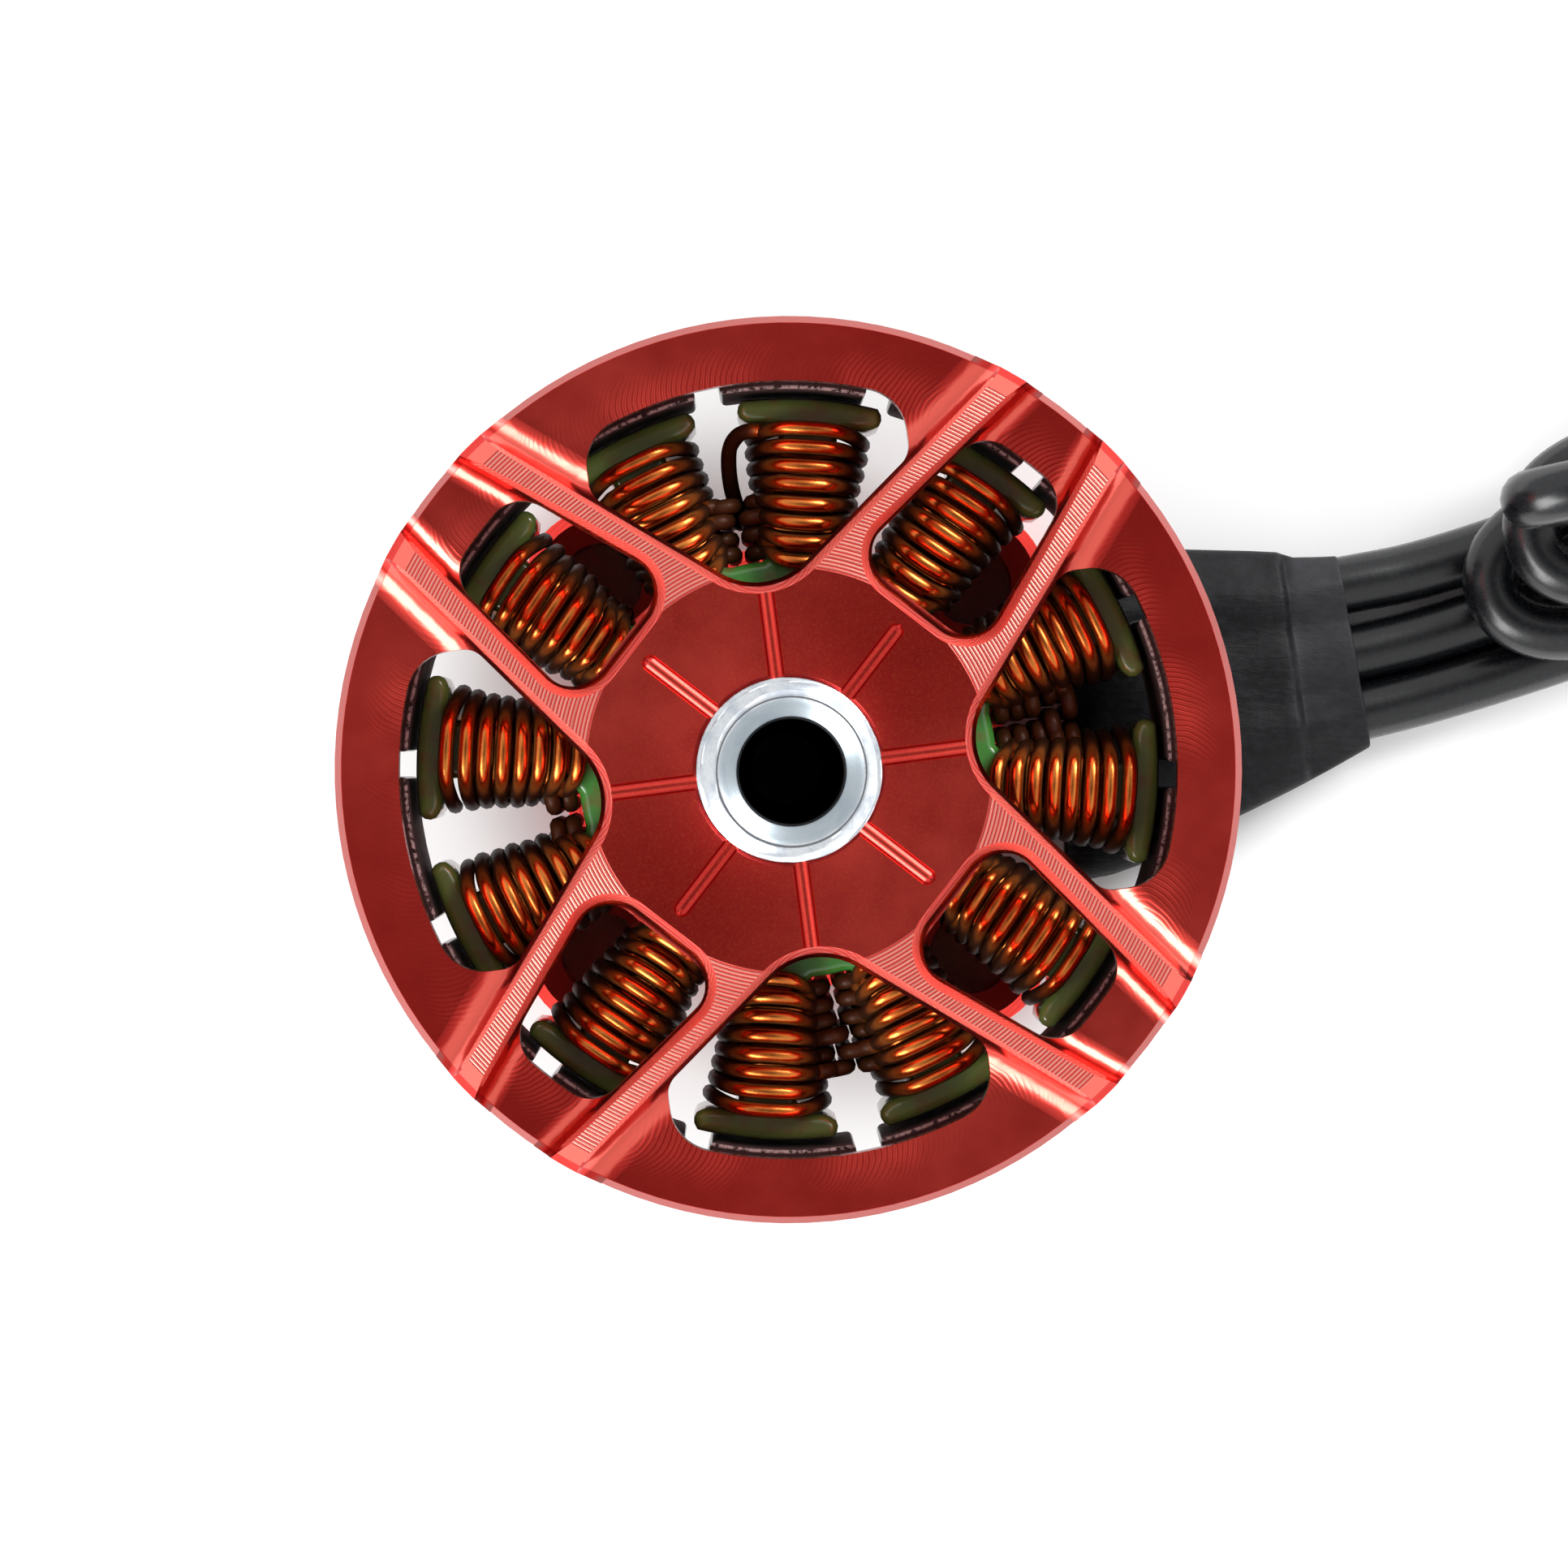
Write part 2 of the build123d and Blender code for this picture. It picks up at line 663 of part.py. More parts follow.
with BuildPart() as phase_wire_b:
    with BuildLine() as line_b:
        FilletPolyline(*route_b, radius=radii_b)
    with BuildSketch(Plane(origin=line_b.line @ 0, z_dir=line_b.line % 0)):
        Circle(wire_r)
    sweep()
phase_wire_b.part.label = "phase_wire_b"
export_step(phase_wire_b.part, "parts/phase_wire_b.step")

with BuildPart() as phase_wire_c:
    with BuildLine() as line_c:
        FilletPolyline(*route_c, radius=radii_c)
    with BuildSketch(Plane(origin=line_c.line @ 0, z_dir=line_c.line % 0)):
        Circle(wire_r)
    sweep()
phase_wire_c.part.label = "phase_wire_c"
export_step(phase_wire_c.part, "parts/phase_wire_c.step")

for nm, ln, rad, pc in (
    ("a", line_a, radii_a, phase_wire_a),
    ("b", line_b, radii_b, phase_wire_b),
    ("c", line_c, radii_c, phase_wire_c),
):
    length = sum(e.length for e in ln.edges())
    print(
        "lead", nm, "radii", [round(r, 1) for r in rad], "length", round(length, 2),
        "volume", round(pc.part.volume, 2), "section x length", round(pi * wire_r**2 * length, 2),
    )

# Enamelled winding ends, twisted in pairs, from the coils down to the sleeve
tail_r = 0.52
tail_from = ((7.75, 3.95), (8.2, 1.6), (8.2, -0.55))


def tail_route(i):
    x0, y0 = tail_from[i]
    y1 = lead_start_y[i]
    return [
        (x0, y0, coil_low_z - 0.06),
        (x0 + 0.25, y0 + 0.1 * (y1 - y0), 2.5),
        (x0 + 1.6, y0 + 0.8 * (y1 - y0), lead_z + 0.05),
        (lead_start_x, y1, lead_z),
    ]


with BuildPart() as winding_tail_a:
    with BuildLine() as tail_a:
        FilletPolyline(*tail_route(0), radius=[0.62, 0.8])
    with BuildSketch(Plane(origin=tail_a.line @ 0, z_dir=tail_a.line % 0)):
        Circle(tail_r)
    sweep()
winding_tail_a.part.label = "winding_tail_a"
export_step(winding_tail_a.part, "parts/winding_tail_a.step")

with BuildPart() as winding_tail_b:
    with BuildLine() as tail_b:
        FilletPolyline(*tail_route(1), radius=[0.62, 0.8])
    with BuildSketch(Plane(origin=tail_b.line @ 0, z_dir=tail_b.line % 0)):
        Circle(tail_r)
    sweep()
winding_tail_b.part.label = "winding_tail_b"
export_step(winding_tail_b.part, "parts/winding_tail_b.step")

with BuildPart() as winding_tail_c:
    with BuildLine() as tail_c:
        FilletPolyline(*tail_route(2), radius=[0.62, 0.8])
    with BuildSketch(Plane(origin=tail_c.line @ 0, z_dir=tail_c.line % 0)):
        Circle(tail_r)
    sweep()
winding_tail_c.part.label = "winding_tail_c"
export_step(winding_tail_c.part, "parts/winding_tail_c.step")

# Flat heat-shrink sleeve over the three solder joints
sleeve_low_z, sleeve_top_z = 0.06, 2.66
with BuildPart() as heat_shrink_sleeve:
    with BuildSketch(Plane.XY.offset(sleeve_low_z)):
        with BuildLine():
            Polyline(
                (9.9, -1.35),
                (13.9, -1.25),
                (16.9, 0.35),
                (17.95, 0.95),
                (16.98, 6.55),
                (15.6, 6.58),
                (12.0, 6.72),
                (9.9, 6.75),
                close=True,
            )
        make_face()
    extrude(amount=sleeve_top_z - sleeve_low_z)
    fillet(
        heat_shrink_sleeve.faces().sort_by(Axis.Z)[-1].edges().filter_by(lambda e: abs(e.tangent_at(0.5).X) > 0.8)
        + heat_shrink_sleeve.faces().sort_by(Axis.Z)[0].edges().filter_by(lambda e: abs(e.tangent_at(0.5).X) > 0.8),
        0.85,
    )
    with BuildSketch(Plane.XY.offset(lead_z - wire_r - 0.15)):
        with BuildLine():
            Polyline(
                (9.0, -0.9),
                (13.8, -0.62),
                (16.6, 0.62),
                (19.0, 1.2),
                (18.0, 7.0),
                (16.9, 6.62),
                (14.4, 6.15),
                (9.0, 6.25),
                close=True,
            )
        make_face()
    extrude(amount=2 * wire_r + 0.18, mode=Mode.SUBTRACT)
heat_shrink_sleeve.part.label = "heat_shrink_sleeve"
export_step(heat_shrink_sleeve.part, "parts/heat_shrink_sleeve.step")

# Hank: outer shape of the folded leads, waisted where the tie grips it
tie_u0, tie_u1 = 20.0, 22.2
hank_low_z, hank_top_z = 0.05, hank_h
far_top_z = 1.95        # the far turns lie flat in one layer
run_top_z = 3.8         # the leads' last runs lie on top of it
# where each lead's insulation ends: u, v, and the run's two sides
lead_ends = ((47.07, 0.5, -0.5, 1.5), (42.75, 2.45, 1.5, 3.5), (34.5, 4.1, 3.5, 5.3))
with BuildPart() as wire_hank:
    with BuildSketch(Plane.XY.offset(hank_low_z)) as hank_plan:
        with BuildLine():
            Polyline(
                hank_pt(0.07, -3.0),
                hank_pt(9, -3.3),
                hank_pt(25.5, -2.9),
                hank_pt(34.5, -5.9),
                hank_pt(42.5, -6.0),
                hank_pt(46.5, -3.3),
                hank_pt(hank_len, 0.6),
                hank_pt(hank_len, 4.2),
                hank_pt(46.5, 7.6),
                hank_pt(43.0, 10.2),
                hank_pt(38.5, 10.7),
                hank_pt(33.5, 10.4),
                hank_pt(25.5, 7.4),
                hank_pt(9, 7.4),
                hank_pt(3.2, 6.6),
                hank_pt(0.07, 3.4),
                close=True,
            )
        make_face()
    extrude(amount=far_top_z - hank_low_z)
    # last runs over the far turns
    with BuildSketch(Plane.XY.offset(far_top_z - 0.1)):
        for end_u, end_v, low_v, high_v in lead_ends:
            with BuildLine():
                Polyline(
                    hank_pt(29.0, low_v - 0.6),
                    hank_pt(end_u, low_v),
                    hank_pt(end_u, high_v),
                    hank_pt(29.0, high_v - 0.4),
                    close=True,
                )
            make_face()
    extrude(amount=run_top_z - far_top_z + 0.1)
    # the stacked near folds and middle
    with BuildSketch(Plane.XY.offset(hank_low_z)):
        with BuildLine():
            Polyline(
                hank_pt(0.07, -3.0),
                hank_pt(9, -3.3),
                hank_pt(25.5, -2.9),
                hank_pt(30.0, -3.0),
                hank_pt(30.0, 8.0),
                hank_pt(25.5, 7.4),
                hank_pt(9, 7.4),
                hank_pt(3.2, 6.6),
                hank_pt(0.07, 3.4),
                close=True,
            )
        make_face()
    extrude(amount=hank_top_z - hank_low_z)
    # waist under the tie
    with BuildSketch(Plane.XY.offset(hank_low_z - 1)):
        with BuildLine():
            Polyline(
                hank_pt(tie_u0, -12),
                hank_pt(tie_u1, -12),
                hank_pt(tie_u1, 14),
                hank_pt(tie_u0, 14),
                close=True,
            )
        make_face()
    extrude(amount=hank_top_z + 2, mode=Mode.SUBTRACT)
    with BuildSketch(Plane.XY.offset(hank_low_z + 0.55)):
        with BuildLine():
            Polyline(
                hank_pt(tie_u0, -2.2),
                hank_pt(tie_u1, -2.2),
                hank_pt(tie_u1, 5.8),
                hank_pt(tie_u0, 5.8),
                close=True,
            )
        make_face()
    extrude(amount=5.8)
wire_hank.part.label = "wire_hank"
export_step(wire_hank.part, "parts/wire_hank.step")

with BuildPart() as hank_tie:
    with BuildSketch(Plane.XY.offset(hank_low_z)):
        with BuildLine():
            Polyline(
                hank_pt(tie_u0 + 0.1, -2.75),
                hank_pt(tie_u1 - 0.1, -2.75),
                hank_pt(tie_u1 - 0.1, 6.35),
                hank_pt(tie_u0 + 0.1, 6.35),
                close=True,
            )
        make_face()
    extrude(amount=6.9)
    with BuildSketch(Plane.XY.offset(hank_low_z + 0.55)):
        with BuildLine():
            Polyline(
                hank_pt(tie_u0 - 1, -2.2),
                hank_pt(tie_u1 + 1, -2.2),
                hank_pt(tie_u1 + 1, 5.8),
                hank_pt(tie_u0 - 1, 5.8),
                close=True,
            )
        make_face()
    extrude(amount=5.8, mode=Mode.SUBTRACT)
hank_tie.part.label = "hank_tie"
export_step(hank_tie.part, "parts/hank_tie.step")

# Tinned lead ends, past the end of each lead's insulation
tip_r = 0.5
with BuildPart() as tinned_tips:
    for end_u, end_v, low_v, high_v in lead_ends:
        x, y = hank_pt(end_u, end_v)
        with BuildSketch(Plane(origin=(x, y, 2.85), z_dir=(ux, uy, 0))):
            Circle(tip_r)
        extrude(amount=3.0)
tinned_tips.part.label = "tinned_tips"
export_step(tinned_tips.part, "parts/tinned_tips.step")
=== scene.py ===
import math
import random

import bmesh
import bpy
import numpy as np
from mathutils import Matrix, Vector


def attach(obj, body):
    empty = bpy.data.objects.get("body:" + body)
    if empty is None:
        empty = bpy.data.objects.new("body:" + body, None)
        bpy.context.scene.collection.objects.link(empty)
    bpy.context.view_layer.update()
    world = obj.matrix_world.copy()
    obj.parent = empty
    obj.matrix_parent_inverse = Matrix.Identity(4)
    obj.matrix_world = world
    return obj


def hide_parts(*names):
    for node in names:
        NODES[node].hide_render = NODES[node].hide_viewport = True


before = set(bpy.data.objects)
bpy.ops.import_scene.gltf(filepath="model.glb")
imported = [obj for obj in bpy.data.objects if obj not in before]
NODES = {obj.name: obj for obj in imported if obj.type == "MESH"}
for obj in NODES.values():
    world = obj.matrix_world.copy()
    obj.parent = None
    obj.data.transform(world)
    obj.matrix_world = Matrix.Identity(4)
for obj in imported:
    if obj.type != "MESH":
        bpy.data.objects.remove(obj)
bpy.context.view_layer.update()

MM = 0.001
rng = random.Random(20)

scene = bpy.context.scene
scene.view_settings.view_transform = "Standard"
scene.view_settings.look = "None"
scene.view_settings.exposure = 0.0
scene.view_settings.gamma = 1.0

# ------------------------------------------------------------------ camera
cam_data = bpy.data.cameras.new("camera")
cam_data.lens = 196.96
cam_data.sensor_width = 36.0
cam_data.clip_start, cam_data.clip_end = 0.01, 10.0
cam = bpy.data.objects.new("camera", cam_data)
scene.collection.objects.link(cam)
eye = Vector((-0.001444, 0.000815, 0.2656))
target = Vector((-0.00013, -0.000414, 0.0156))
forward = (target - eye).normalized()
right = forward.cross(Vector((0, 1, 0))).normalized()
up = right.cross(forward)
cam.matrix_world = Matrix(
    (
        (right.x, up.x, -forward.x, eye.x),
        (right.y, up.y, -forward.y, eye.y),
        (right.z, up.z, -forward.z, eye.z),
        (0, 0, 0, 1),
    )
)
scene.camera = cam


# ------------------------------------------------------------------ helpers
def link(obj):
    scene.collection.objects.link(obj)
    return obj


def mesh_object(name, verts_mm, faces, smooth=True, sharp_deg=None):
    me = bpy.data.meshes.new(name)
    v = np.asarray(verts_mm, float) * MM
    me.from_pydata([tuple(p) for p in v], [], [tuple(int(i) for i in f) for f in faces])
    me.validate()
    me.update()
    if smooth:
        me.polygons.foreach_set("use_smooth", [True] * len(me.polygons))
        if sharp_deg is not None:
            me.set_sharp_from_angle(angle=math.radians(sharp_deg))
    return link(bpy.data.objects.new(name, me))


def join_parts(parts):
    """One vertex list and face list from several."""
    verts, faces, base = [], [], 0
    for v, f in parts:
        verts += [tuple(p) for p in v]
        faces += [tuple(i + base for i in q) for q in f]
        base += len(v)
    return verts, faces


def tube(points, radius, sides=10, caps=True):
    """A round tube along points, with frames carried along without twist. radius may be a list."""
    p = np.asarray(points, float)
    n = len(p)
    rad = np.broadcast_to(np.asarray(radius, float), (n,))
    t = np.gradient(p, axis=0)
    t /= np.linalg.norm(t, axis=1)[:, None]
    ref = np.array([0.0, 0.0, 1.0]) if abs(t[0][2]) < 0.9 else np.array([1.0, 0.0, 0.0])
    u = np.cross(t[0], ref)
    u /= np.linalg.norm(u)
    verts = []
    for i in range(n):
        u = u - t[i] * (u @ t[i])
        u /= np.linalg.norm(u)
        w = np.cross(t[i], u)
        for k in range(sides):
            a = 2 * math.pi * k / sides
            verts.append(p[i] + rad[i] * (math.cos(a) * u + math.sin(a) * w))
    faces = []
    for i in range(n - 1):
        for k in range(sides):
            k2 = (k + 1) % sides
            faces.append((i * sides + k, i * sides + k2, (i + 1) * sides + k2, (i + 1) * sides + k))
    if caps:
        faces.append(tuple(range(sides))[::-1])
        faces.append(tuple((n - 1) * sides + k for k in range(sides)))
    return verts, faces


def rings(rows, sides, close_v=False):
    """Quads over rows of points that all have the same count, closed round."""
    n = len(rows)
    verts = [q for r in rows for q in r]
    faces = []
    for i in range(n if close_v else n - 1):
        j = (i + 1) % n
        for k in range(sides):
            k2 = (k + 1) % sides
            faces.append((i * sides + k, i * sides + k2, j * sides + k2, j * sides + k))
    return verts, faces


def catmull(points, per=8):
    p = [np.asarray(q, float) for q in points]
    p = [2 * p[0] - p[1]] + p + [2 * p[-1] - p[-2]]
    out = []
    for i in range(1, len(p) - 2):
        for s in range(per):
            t = s / per
            out.append(
                0.5
                * (
                    2 * p[i]
                    + (p[i + 1] - p[i - 1]) * t
                    + (2 * p[i - 1] - 5 * p[i] + 4 * p[i + 1] - p[i + 2]) * t * t
                    + (3 * p[i] - p[i - 1] - 3 * p[i + 1] + p[i + 2]) * t**3
                )
            )
    out.append(p[-2])
    return out


def smooth01(x):
    x = min(1.0, max(0.0, x))
    return x * x * (3 - 2 * x)


# ------------------------------------------------------------------ node helper
class Nodes:
    """Short names for building a material's nodes. Lengths inside are in millimetres."""

    def __init__(self, name):
        self.mat = bpy.data.materials.new(name)
        self.mat.use_nodes = True
        self.t = self.mat.node_tree
        self.t.nodes.clear()
        self.out = self.t.nodes.new("ShaderNodeOutputMaterial")
        self.bsdf = self.t.nodes.new("ShaderNodeBsdfPrincipled")
        self.t.links.new(self.bsdf.outputs[0], self.out.inputs["Surface"])
        coord = self.t.nodes.new("ShaderNodeTexCoord")
        scale = self.t.nodes.new("ShaderNodeVectorMath")
        scale.operation = "SCALE"
        scale.inputs["Scale"].default_value = 1000.0
        self.t.links.new(coord.outputs["Object"], scale.inputs[0])
        self.pos = scale.outputs["Vector"]
        sep = self.t.nodes.new("ShaderNodeSeparateXYZ")
        self.t.links.new(self.pos, sep.inputs[0])
        self.x, self.y, self.z = sep.outputs
        nsep = self.t.nodes.new("ShaderNodeSeparateXYZ")
        self.t.links.new(coord.outputs["Normal"], nsep.inputs[0])
        self.nx, self.ny, self.nz = nsep.outputs

    def put(self, socket, value):
        if hasattr(value, "is_output"):
            self.t.links.new(value, socket)
        else:
            socket.default_value = value

    def m(self, op, a, b=0.0, c=0.0, clamp=False):
        n = self.t.nodes.new("ShaderNodeMath")
        n.operation = op
        n.use_clamp = clamp
        self.put(n.inputs[0], a)
        if len(n.inputs) > 1:
            self.put(n.inputs[1], b)
        if len(n.inputs) > 2:
            self.put(n.inputs[2], c)
        return n.outputs[0]

    def step(self, value, low, high):
        """0 below low, 1 above high, smooth between; low may be above high."""
        n = self.t.nodes.new("ShaderNodeMapRange")
        n.interpolation_type = "SMOOTHSTEP"
        self.put(n.inputs["Value"], value)
        n.inputs["From Min"].default_value = low
        n.inputs["From Max"].default_value = high
        return n.outputs["Result"]

    def noise(self, scale, detail=3.0, rough=0.5, vector=None, distortion=0.0):
        n = self.t.nodes.new("ShaderNodeTexNoise")
        self.put(n.inputs["Vector"], self.pos if vector is None else vector)
        n.inputs["Scale"].default_value = scale
        n.inputs["Detail"].default_value = detail
        n.inputs["Roughness"].default_value = rough
        n.inputs["Distortion"].default_value = distortion
        return n.outputs["Fac"]

    def radius(self):
        return self.m("SQRT", self.m("ADD", self.m("MULTIPLY", self.x, self.x), self.m("MULTIPLY", self.y, self.y)))

    def angle(self):
        return self.m("ARCTAN2", self.y, self.x)

    def combine(self, x, y, z):
        n = self.t.nodes.new("ShaderNodeCombineXYZ")
        self.put(n.inputs[0], x)
        self.put(n.inputs[1], y)
        self.put(n.inputs[2], z)
        return n.outputs[0]

    def wave(self, value, pitch):
        """A sine of 0 to 1 with that pitch."""
        s = self.m("SINE", self.m("MULTIPLY", value, 2 * math.pi / pitch))
        return self.m("MULTIPLY_ADD", s, 0.5, 0.5)

    def mix(self, fac, a, b):
        n = self.t.nodes.new("ShaderNodeMix")
        n.data_type = "RGBA"
        self.put(n.inputs["Factor"], fac)
        self.put(n.inputs[6], a if hasattr(a, "is_output") else (*a, 1.0))
        self.put(n.inputs[7], b if hasattr(b, "is_output") else (*b, 1.0))
        return n.outputs[2]

    def bump(self, height, distance_mm, strength=1.0, normal=None):
        n = self.t.nodes.new("ShaderNodeBump")
        n.inputs["Strength"].default_value = strength
        n.inputs["Distance"].default_value = distance_mm * MM
        self.put(n.inputs["Height"], height)
        if normal is not None:
            self.put(n.inputs["Normal"], normal)
        return n.outputs[0]

    def set(self, **values):
        names = {
            "color": "Base Color", "metallic": "Metallic", "rough": "Roughness", "normal": "Normal",
            "coat": "Coat Weight", "coat_rough": "Coat Roughness", "ior": "IOR", "coat_ior": "Coat IOR",
            "spec": "Specular IOR Level", "aniso": "Anisotropic", "sheen": "Sheen Weight",
            "sheen_rough": "Sheen Roughness", "coat_normal": "Coat Normal",
        }
        for k, v in values.items():
            s = self.bsdf.inputs[names[k]]
            if k == "color" and not hasattr(v, "is_output"):
                v = (*v, 1.0)
            self.put(s, v)
        return self.mat


# ------------------------------------------------------------------ materials
def red_anodised():
    n = Nodes("red_anodised")
    r, a = n.radius(), n.angle()
    flat_up = n.step(n.nz, 0.80, 0.97)
    high = n.step(n.z, 15.75, 15.95)
    off_hub = n.step(r, 5.84, 5.92)
    spoke_top = n.m("MULTIPLY", n.m("MULTIPLY", flat_up, high), off_hub)
    hub = n.m("MULTIPLY", n.m("MULTIPLY", flat_up, high), n.m("SUBTRACT", 1.0, off_hub))
    rim = n.m("MULTIPLY", n.m("MULTIPLY", flat_up, n.m("SUBTRACT", 1.0, high)), n.step(n.z, 14.9, 15.2))
    # milled walls beside the spokes and round the hub
    wall = n.m("MULTIPLY", n.m("MULTIPLY", n.step(n.nz, 0.42, 0.22), n.step(n.z, 15.2, 15.5)), n.step(r, 12.95, 12.7))
    # turned rings on the spokes' tops, uneven from ring to ring; bumped, and their lines also painted pale as a painted
    # highlight
    ring_noise = n.noise(1.0, 2.0, 0.5, n.combine(n.m("MULTIPLY", r, 9.0), n.m("MULTIPLY", a, 0.7), 3.0))
    lines = n.step(n.wave(r, 0.112), 0.15, 0.85)
    rings_h = n.m("MULTIPLY", lines, n.m("MULTIPLY_ADD", ring_noise, 0.9, 0.45))
    # scallops that the ball-nosed cutter left on the walls: two crossing rows of small dots, bumped and also painted
    # pale as a painted highlight
    dot_a = n.wave(n.m("ADD", r, n.m("MULTIPLY", n.z, 0.35)), 0.19)
    dot_b = n.wave(n.m("ADD", n.z, n.m("MULTIPLY", r, 0.15)), 0.42)
    wall_h = n.m("MULTIPLY", n.m("MULTIPLY", dot_a, n.m("MULTIPLY_ADD", dot_b, 0.7, 0.3)), n.m("MULTIPLY_ADD", n.noise(1.1, 2.0), 1.0, 0.4))
    # arcs left by the end mill on the low rim, bumped and also painted lighter as a painted highlight
    drift = n.noise(0.55, 2.0)
    swing = n.m("MULTIPLY", n.m("POWER", n.m("SUBTRACT", r, 11.2), 2.0), 0.42)
    arc = n.m("ADD", n.m("MULTIPLY", a, 12.2), n.m("ADD", swing, n.m("MULTIPLY", drift, 0.5)))
    patch = n.step(n.noise(0.32, 1.0, 0.4), 0.42, 0.62)
    inner = n.step(r, 12.9, 11.5)
    arcs_h = n.m("MULTIPLY", n.step(n.wave(arc, 0.17), 0.2, 0.95), n.m("MULTIPLY", n.m("MULTIPLY_ADD", patch, 0.85, 0.15), inner))
    grain = n.noise(26.0, 3.0, 0.6)
    height = n.m("ADD", n.m("MULTIPLY", rings_h, spoke_top), n.m("MULTIPLY", n.m("MULTIPLY", wall_h, wall), 1.5))
    height = n.m("ADD", height, n.m("MULTIPLY", n.m("MULTIPLY", arcs_h, rim), 0.45))
    height = n.m("ADD", height, n.m("MULTIPLY", grain, 0.008))
    # the walls' cut is rough enough to send light upwards
    geo = n.t.nodes.new("ShaderNodeNewGeometry")
    tilt = n.t.nodes.new("ShaderNodeVectorMath")
    tilt.operation = "ADD"
    n.t.links.new(geo.outputs["Normal"], tilt.inputs[0])
    n.t.links.new(n.combine(0.0, 0.0, n.m("MULTIPLY", wall, 0.62)), tilt.inputs[1])
    unit = n.t.nodes.new("ShaderNodeVectorMath")
    unit.operation = "NORMALIZE"
    n.t.links.new(tilt.outputs[0], unit.inputs[0])
    fine = n.noise(13.0, 2.0, 0.6)
    mottle = n.m("MULTIPLY", n.step(fine, 0.42, 0.80), n.m("MULTIPLY_ADD", hub, 0.13, 0.05))
    tone = n.mix(n.noise(0.25, 2.0), (0.46, 0.016, 0.014), (0.60, 0.027, 0.021))
    # painted highlight: the brushed flats are painted lighter towards two opposite sides
    painted_sheen = n.m("MULTIPLY_ADD", n.m("COSINE", n.m("MULTIPLY_ADD", a, 2.0, -4.9)), 0.5, 0.5)
    flat = n.m("ADD", rim, hub)
    tone = n.mix(n.m("MULTIPLY", n.m("MULTIPLY", painted_sheen, flat), n.m("MULTIPLY_ADD", n.noise(0.5, 2.0), 0.9, 0.0)), tone, (1.0, 0.10, 0.075))
    # painted highlight: the end-mill arcs on the rim are painted a lighter red
    tone = n.mix(n.m("MULTIPLY", n.m("MULTIPLY", arcs_h, rim), 0.34), tone, (1.0, 0.11, 0.08))
    tone = n.mix(mottle, tone, (0.98, 0.22, 0.06))
    # painted highlight: the spoke tops are painted a lighter red
    tone = n.mix(n.m("MULTIPLY", spoke_top, 0.55), tone, (0.90, 0.085, 0.070))
    # painted highlight: the turned ring lines on the spoke tops are painted pale pink
    tone = n.mix(n.m("MULTIPLY", n.m("MULTIPLY", rings_h, spoke_top), 0.85), tone, (1.0, 0.42, 0.34))
    # painted highlight: the milled walls are painted a lighter red
    tone = n.mix(n.m("MULTIPLY", wall, 0.6), tone, (0.95, 0.075, 0.060))
    # painted highlight: the scallop dots on the walls are painted pale pink
    tone = n.mix(n.m("MULTIPLY", n.m("MULTIPLY", wall_h, wall), 0.65), tone, (1.0, 0.36, 0.30))
    # painted highlight: the curved and sloping cuts between the spokes and the rim are painted a paler, lighter red
    slope = n.m("MULTIPLY", n.m("MULTIPLY", n.step(n.nz, 0.985, 0.93), n.step(n.z, 15.0, 15.15)), n.step(r, 13.04, 13.0))
    tone = n.mix(n.m("MULTIPLY", n.m("MULTIPLY", slope, off_hub), 0.50), tone, (1.0, 0.19, 0.14))
    # the bare bright line where the rim's edge is broken
    edge = n.m("MULTIPLY", n.step(r, 13.03, 13.08), n.m("MULTIPLY", n.step(n.z, 15.0, 15.06), n.step(n.z, 15.45, 15.3)))
    tone = n.mix(n.m("MULTIPLY", edge, 0.75), tone, (0.34, 0.135, 0.125))
    rough = n.m("ADD", n.m("MULTIPLY_ADD", n.noise(2.0, 3.0), 0.03, 0.205), n.m("ADD", n.m("MULTIPLY", n.m("ADD", rim, hub), 0.06), n.m("MULTIPLY", wall, 0.14)))
    return n.set(
        color=tone, metallic=n.m("SUBTRACT", 1.0, n.m("MULTIPLY", n.m("ADD", wall, n.m("MULTIPLY", spoke_top, 0.5)), 0.30)),
        rough=rough, normal=n.bump(height, 0.012, 0.9, unit.outputs[0]),
        coat=0.18, coat_rough=0.18, coat_ior=1.6,
    )


def base_anodised():
    n = Nodes("base_anodised")
    r = n.radius()
    rings_h = n.m("MULTIPLY", n.wave(r, 0.14), n.noise(1.2, 2.0))
    grain = n.noise(20.0, 3.0)
    tone = n.mix(n.noise(0.4, 3.0), (0.60, 0.022, 0.016), (0.76, 0.034, 0.024))
    return n.set(
        color=tone, metallic=1.0, rough=n.m("MULTIPLY_ADD", grain, 0.14, 0.24),
        normal=n.bump(n.m("ADD", rings_h, n.m("MULTIPLY", grain, 0.3)), 0.008, 0.6), coat=0.2, coat_rough=0.2,
    )


def steel(name, color, rough, mark=0.15, turned=True, coat=0.0):
    n = Nodes(name)
    r = n.radius()
    speck = n.noise(9.0, 4.0, 0.6)
    ring = n.noise(1.0, 3.0, 0.5, n.combine(n.m("MULTIPLY", r, 22.0), n.m("MULTIPLY", n.z, 22.0), 0.0))
    height = n.m("ADD", n.m("MULTIPLY", ring, 1.0 if turned else 0.2), n.m("MULTIPLY", speck, 0.3))
    darker = tuple(c * 0.72 for c in color)
    tone = n.mix(n.m("MULTIPLY", n.step(speck, 0.35, 0.75), 0.6), color, darker)
    return n.set(
        color=tone, metallic=1.0, rough=n.m("MULTIPLY_ADD", speck, mark, rough),
        normal=n.bump(height, 0.006, 0.6), coat=coat, coat_rough=0.1,
    )


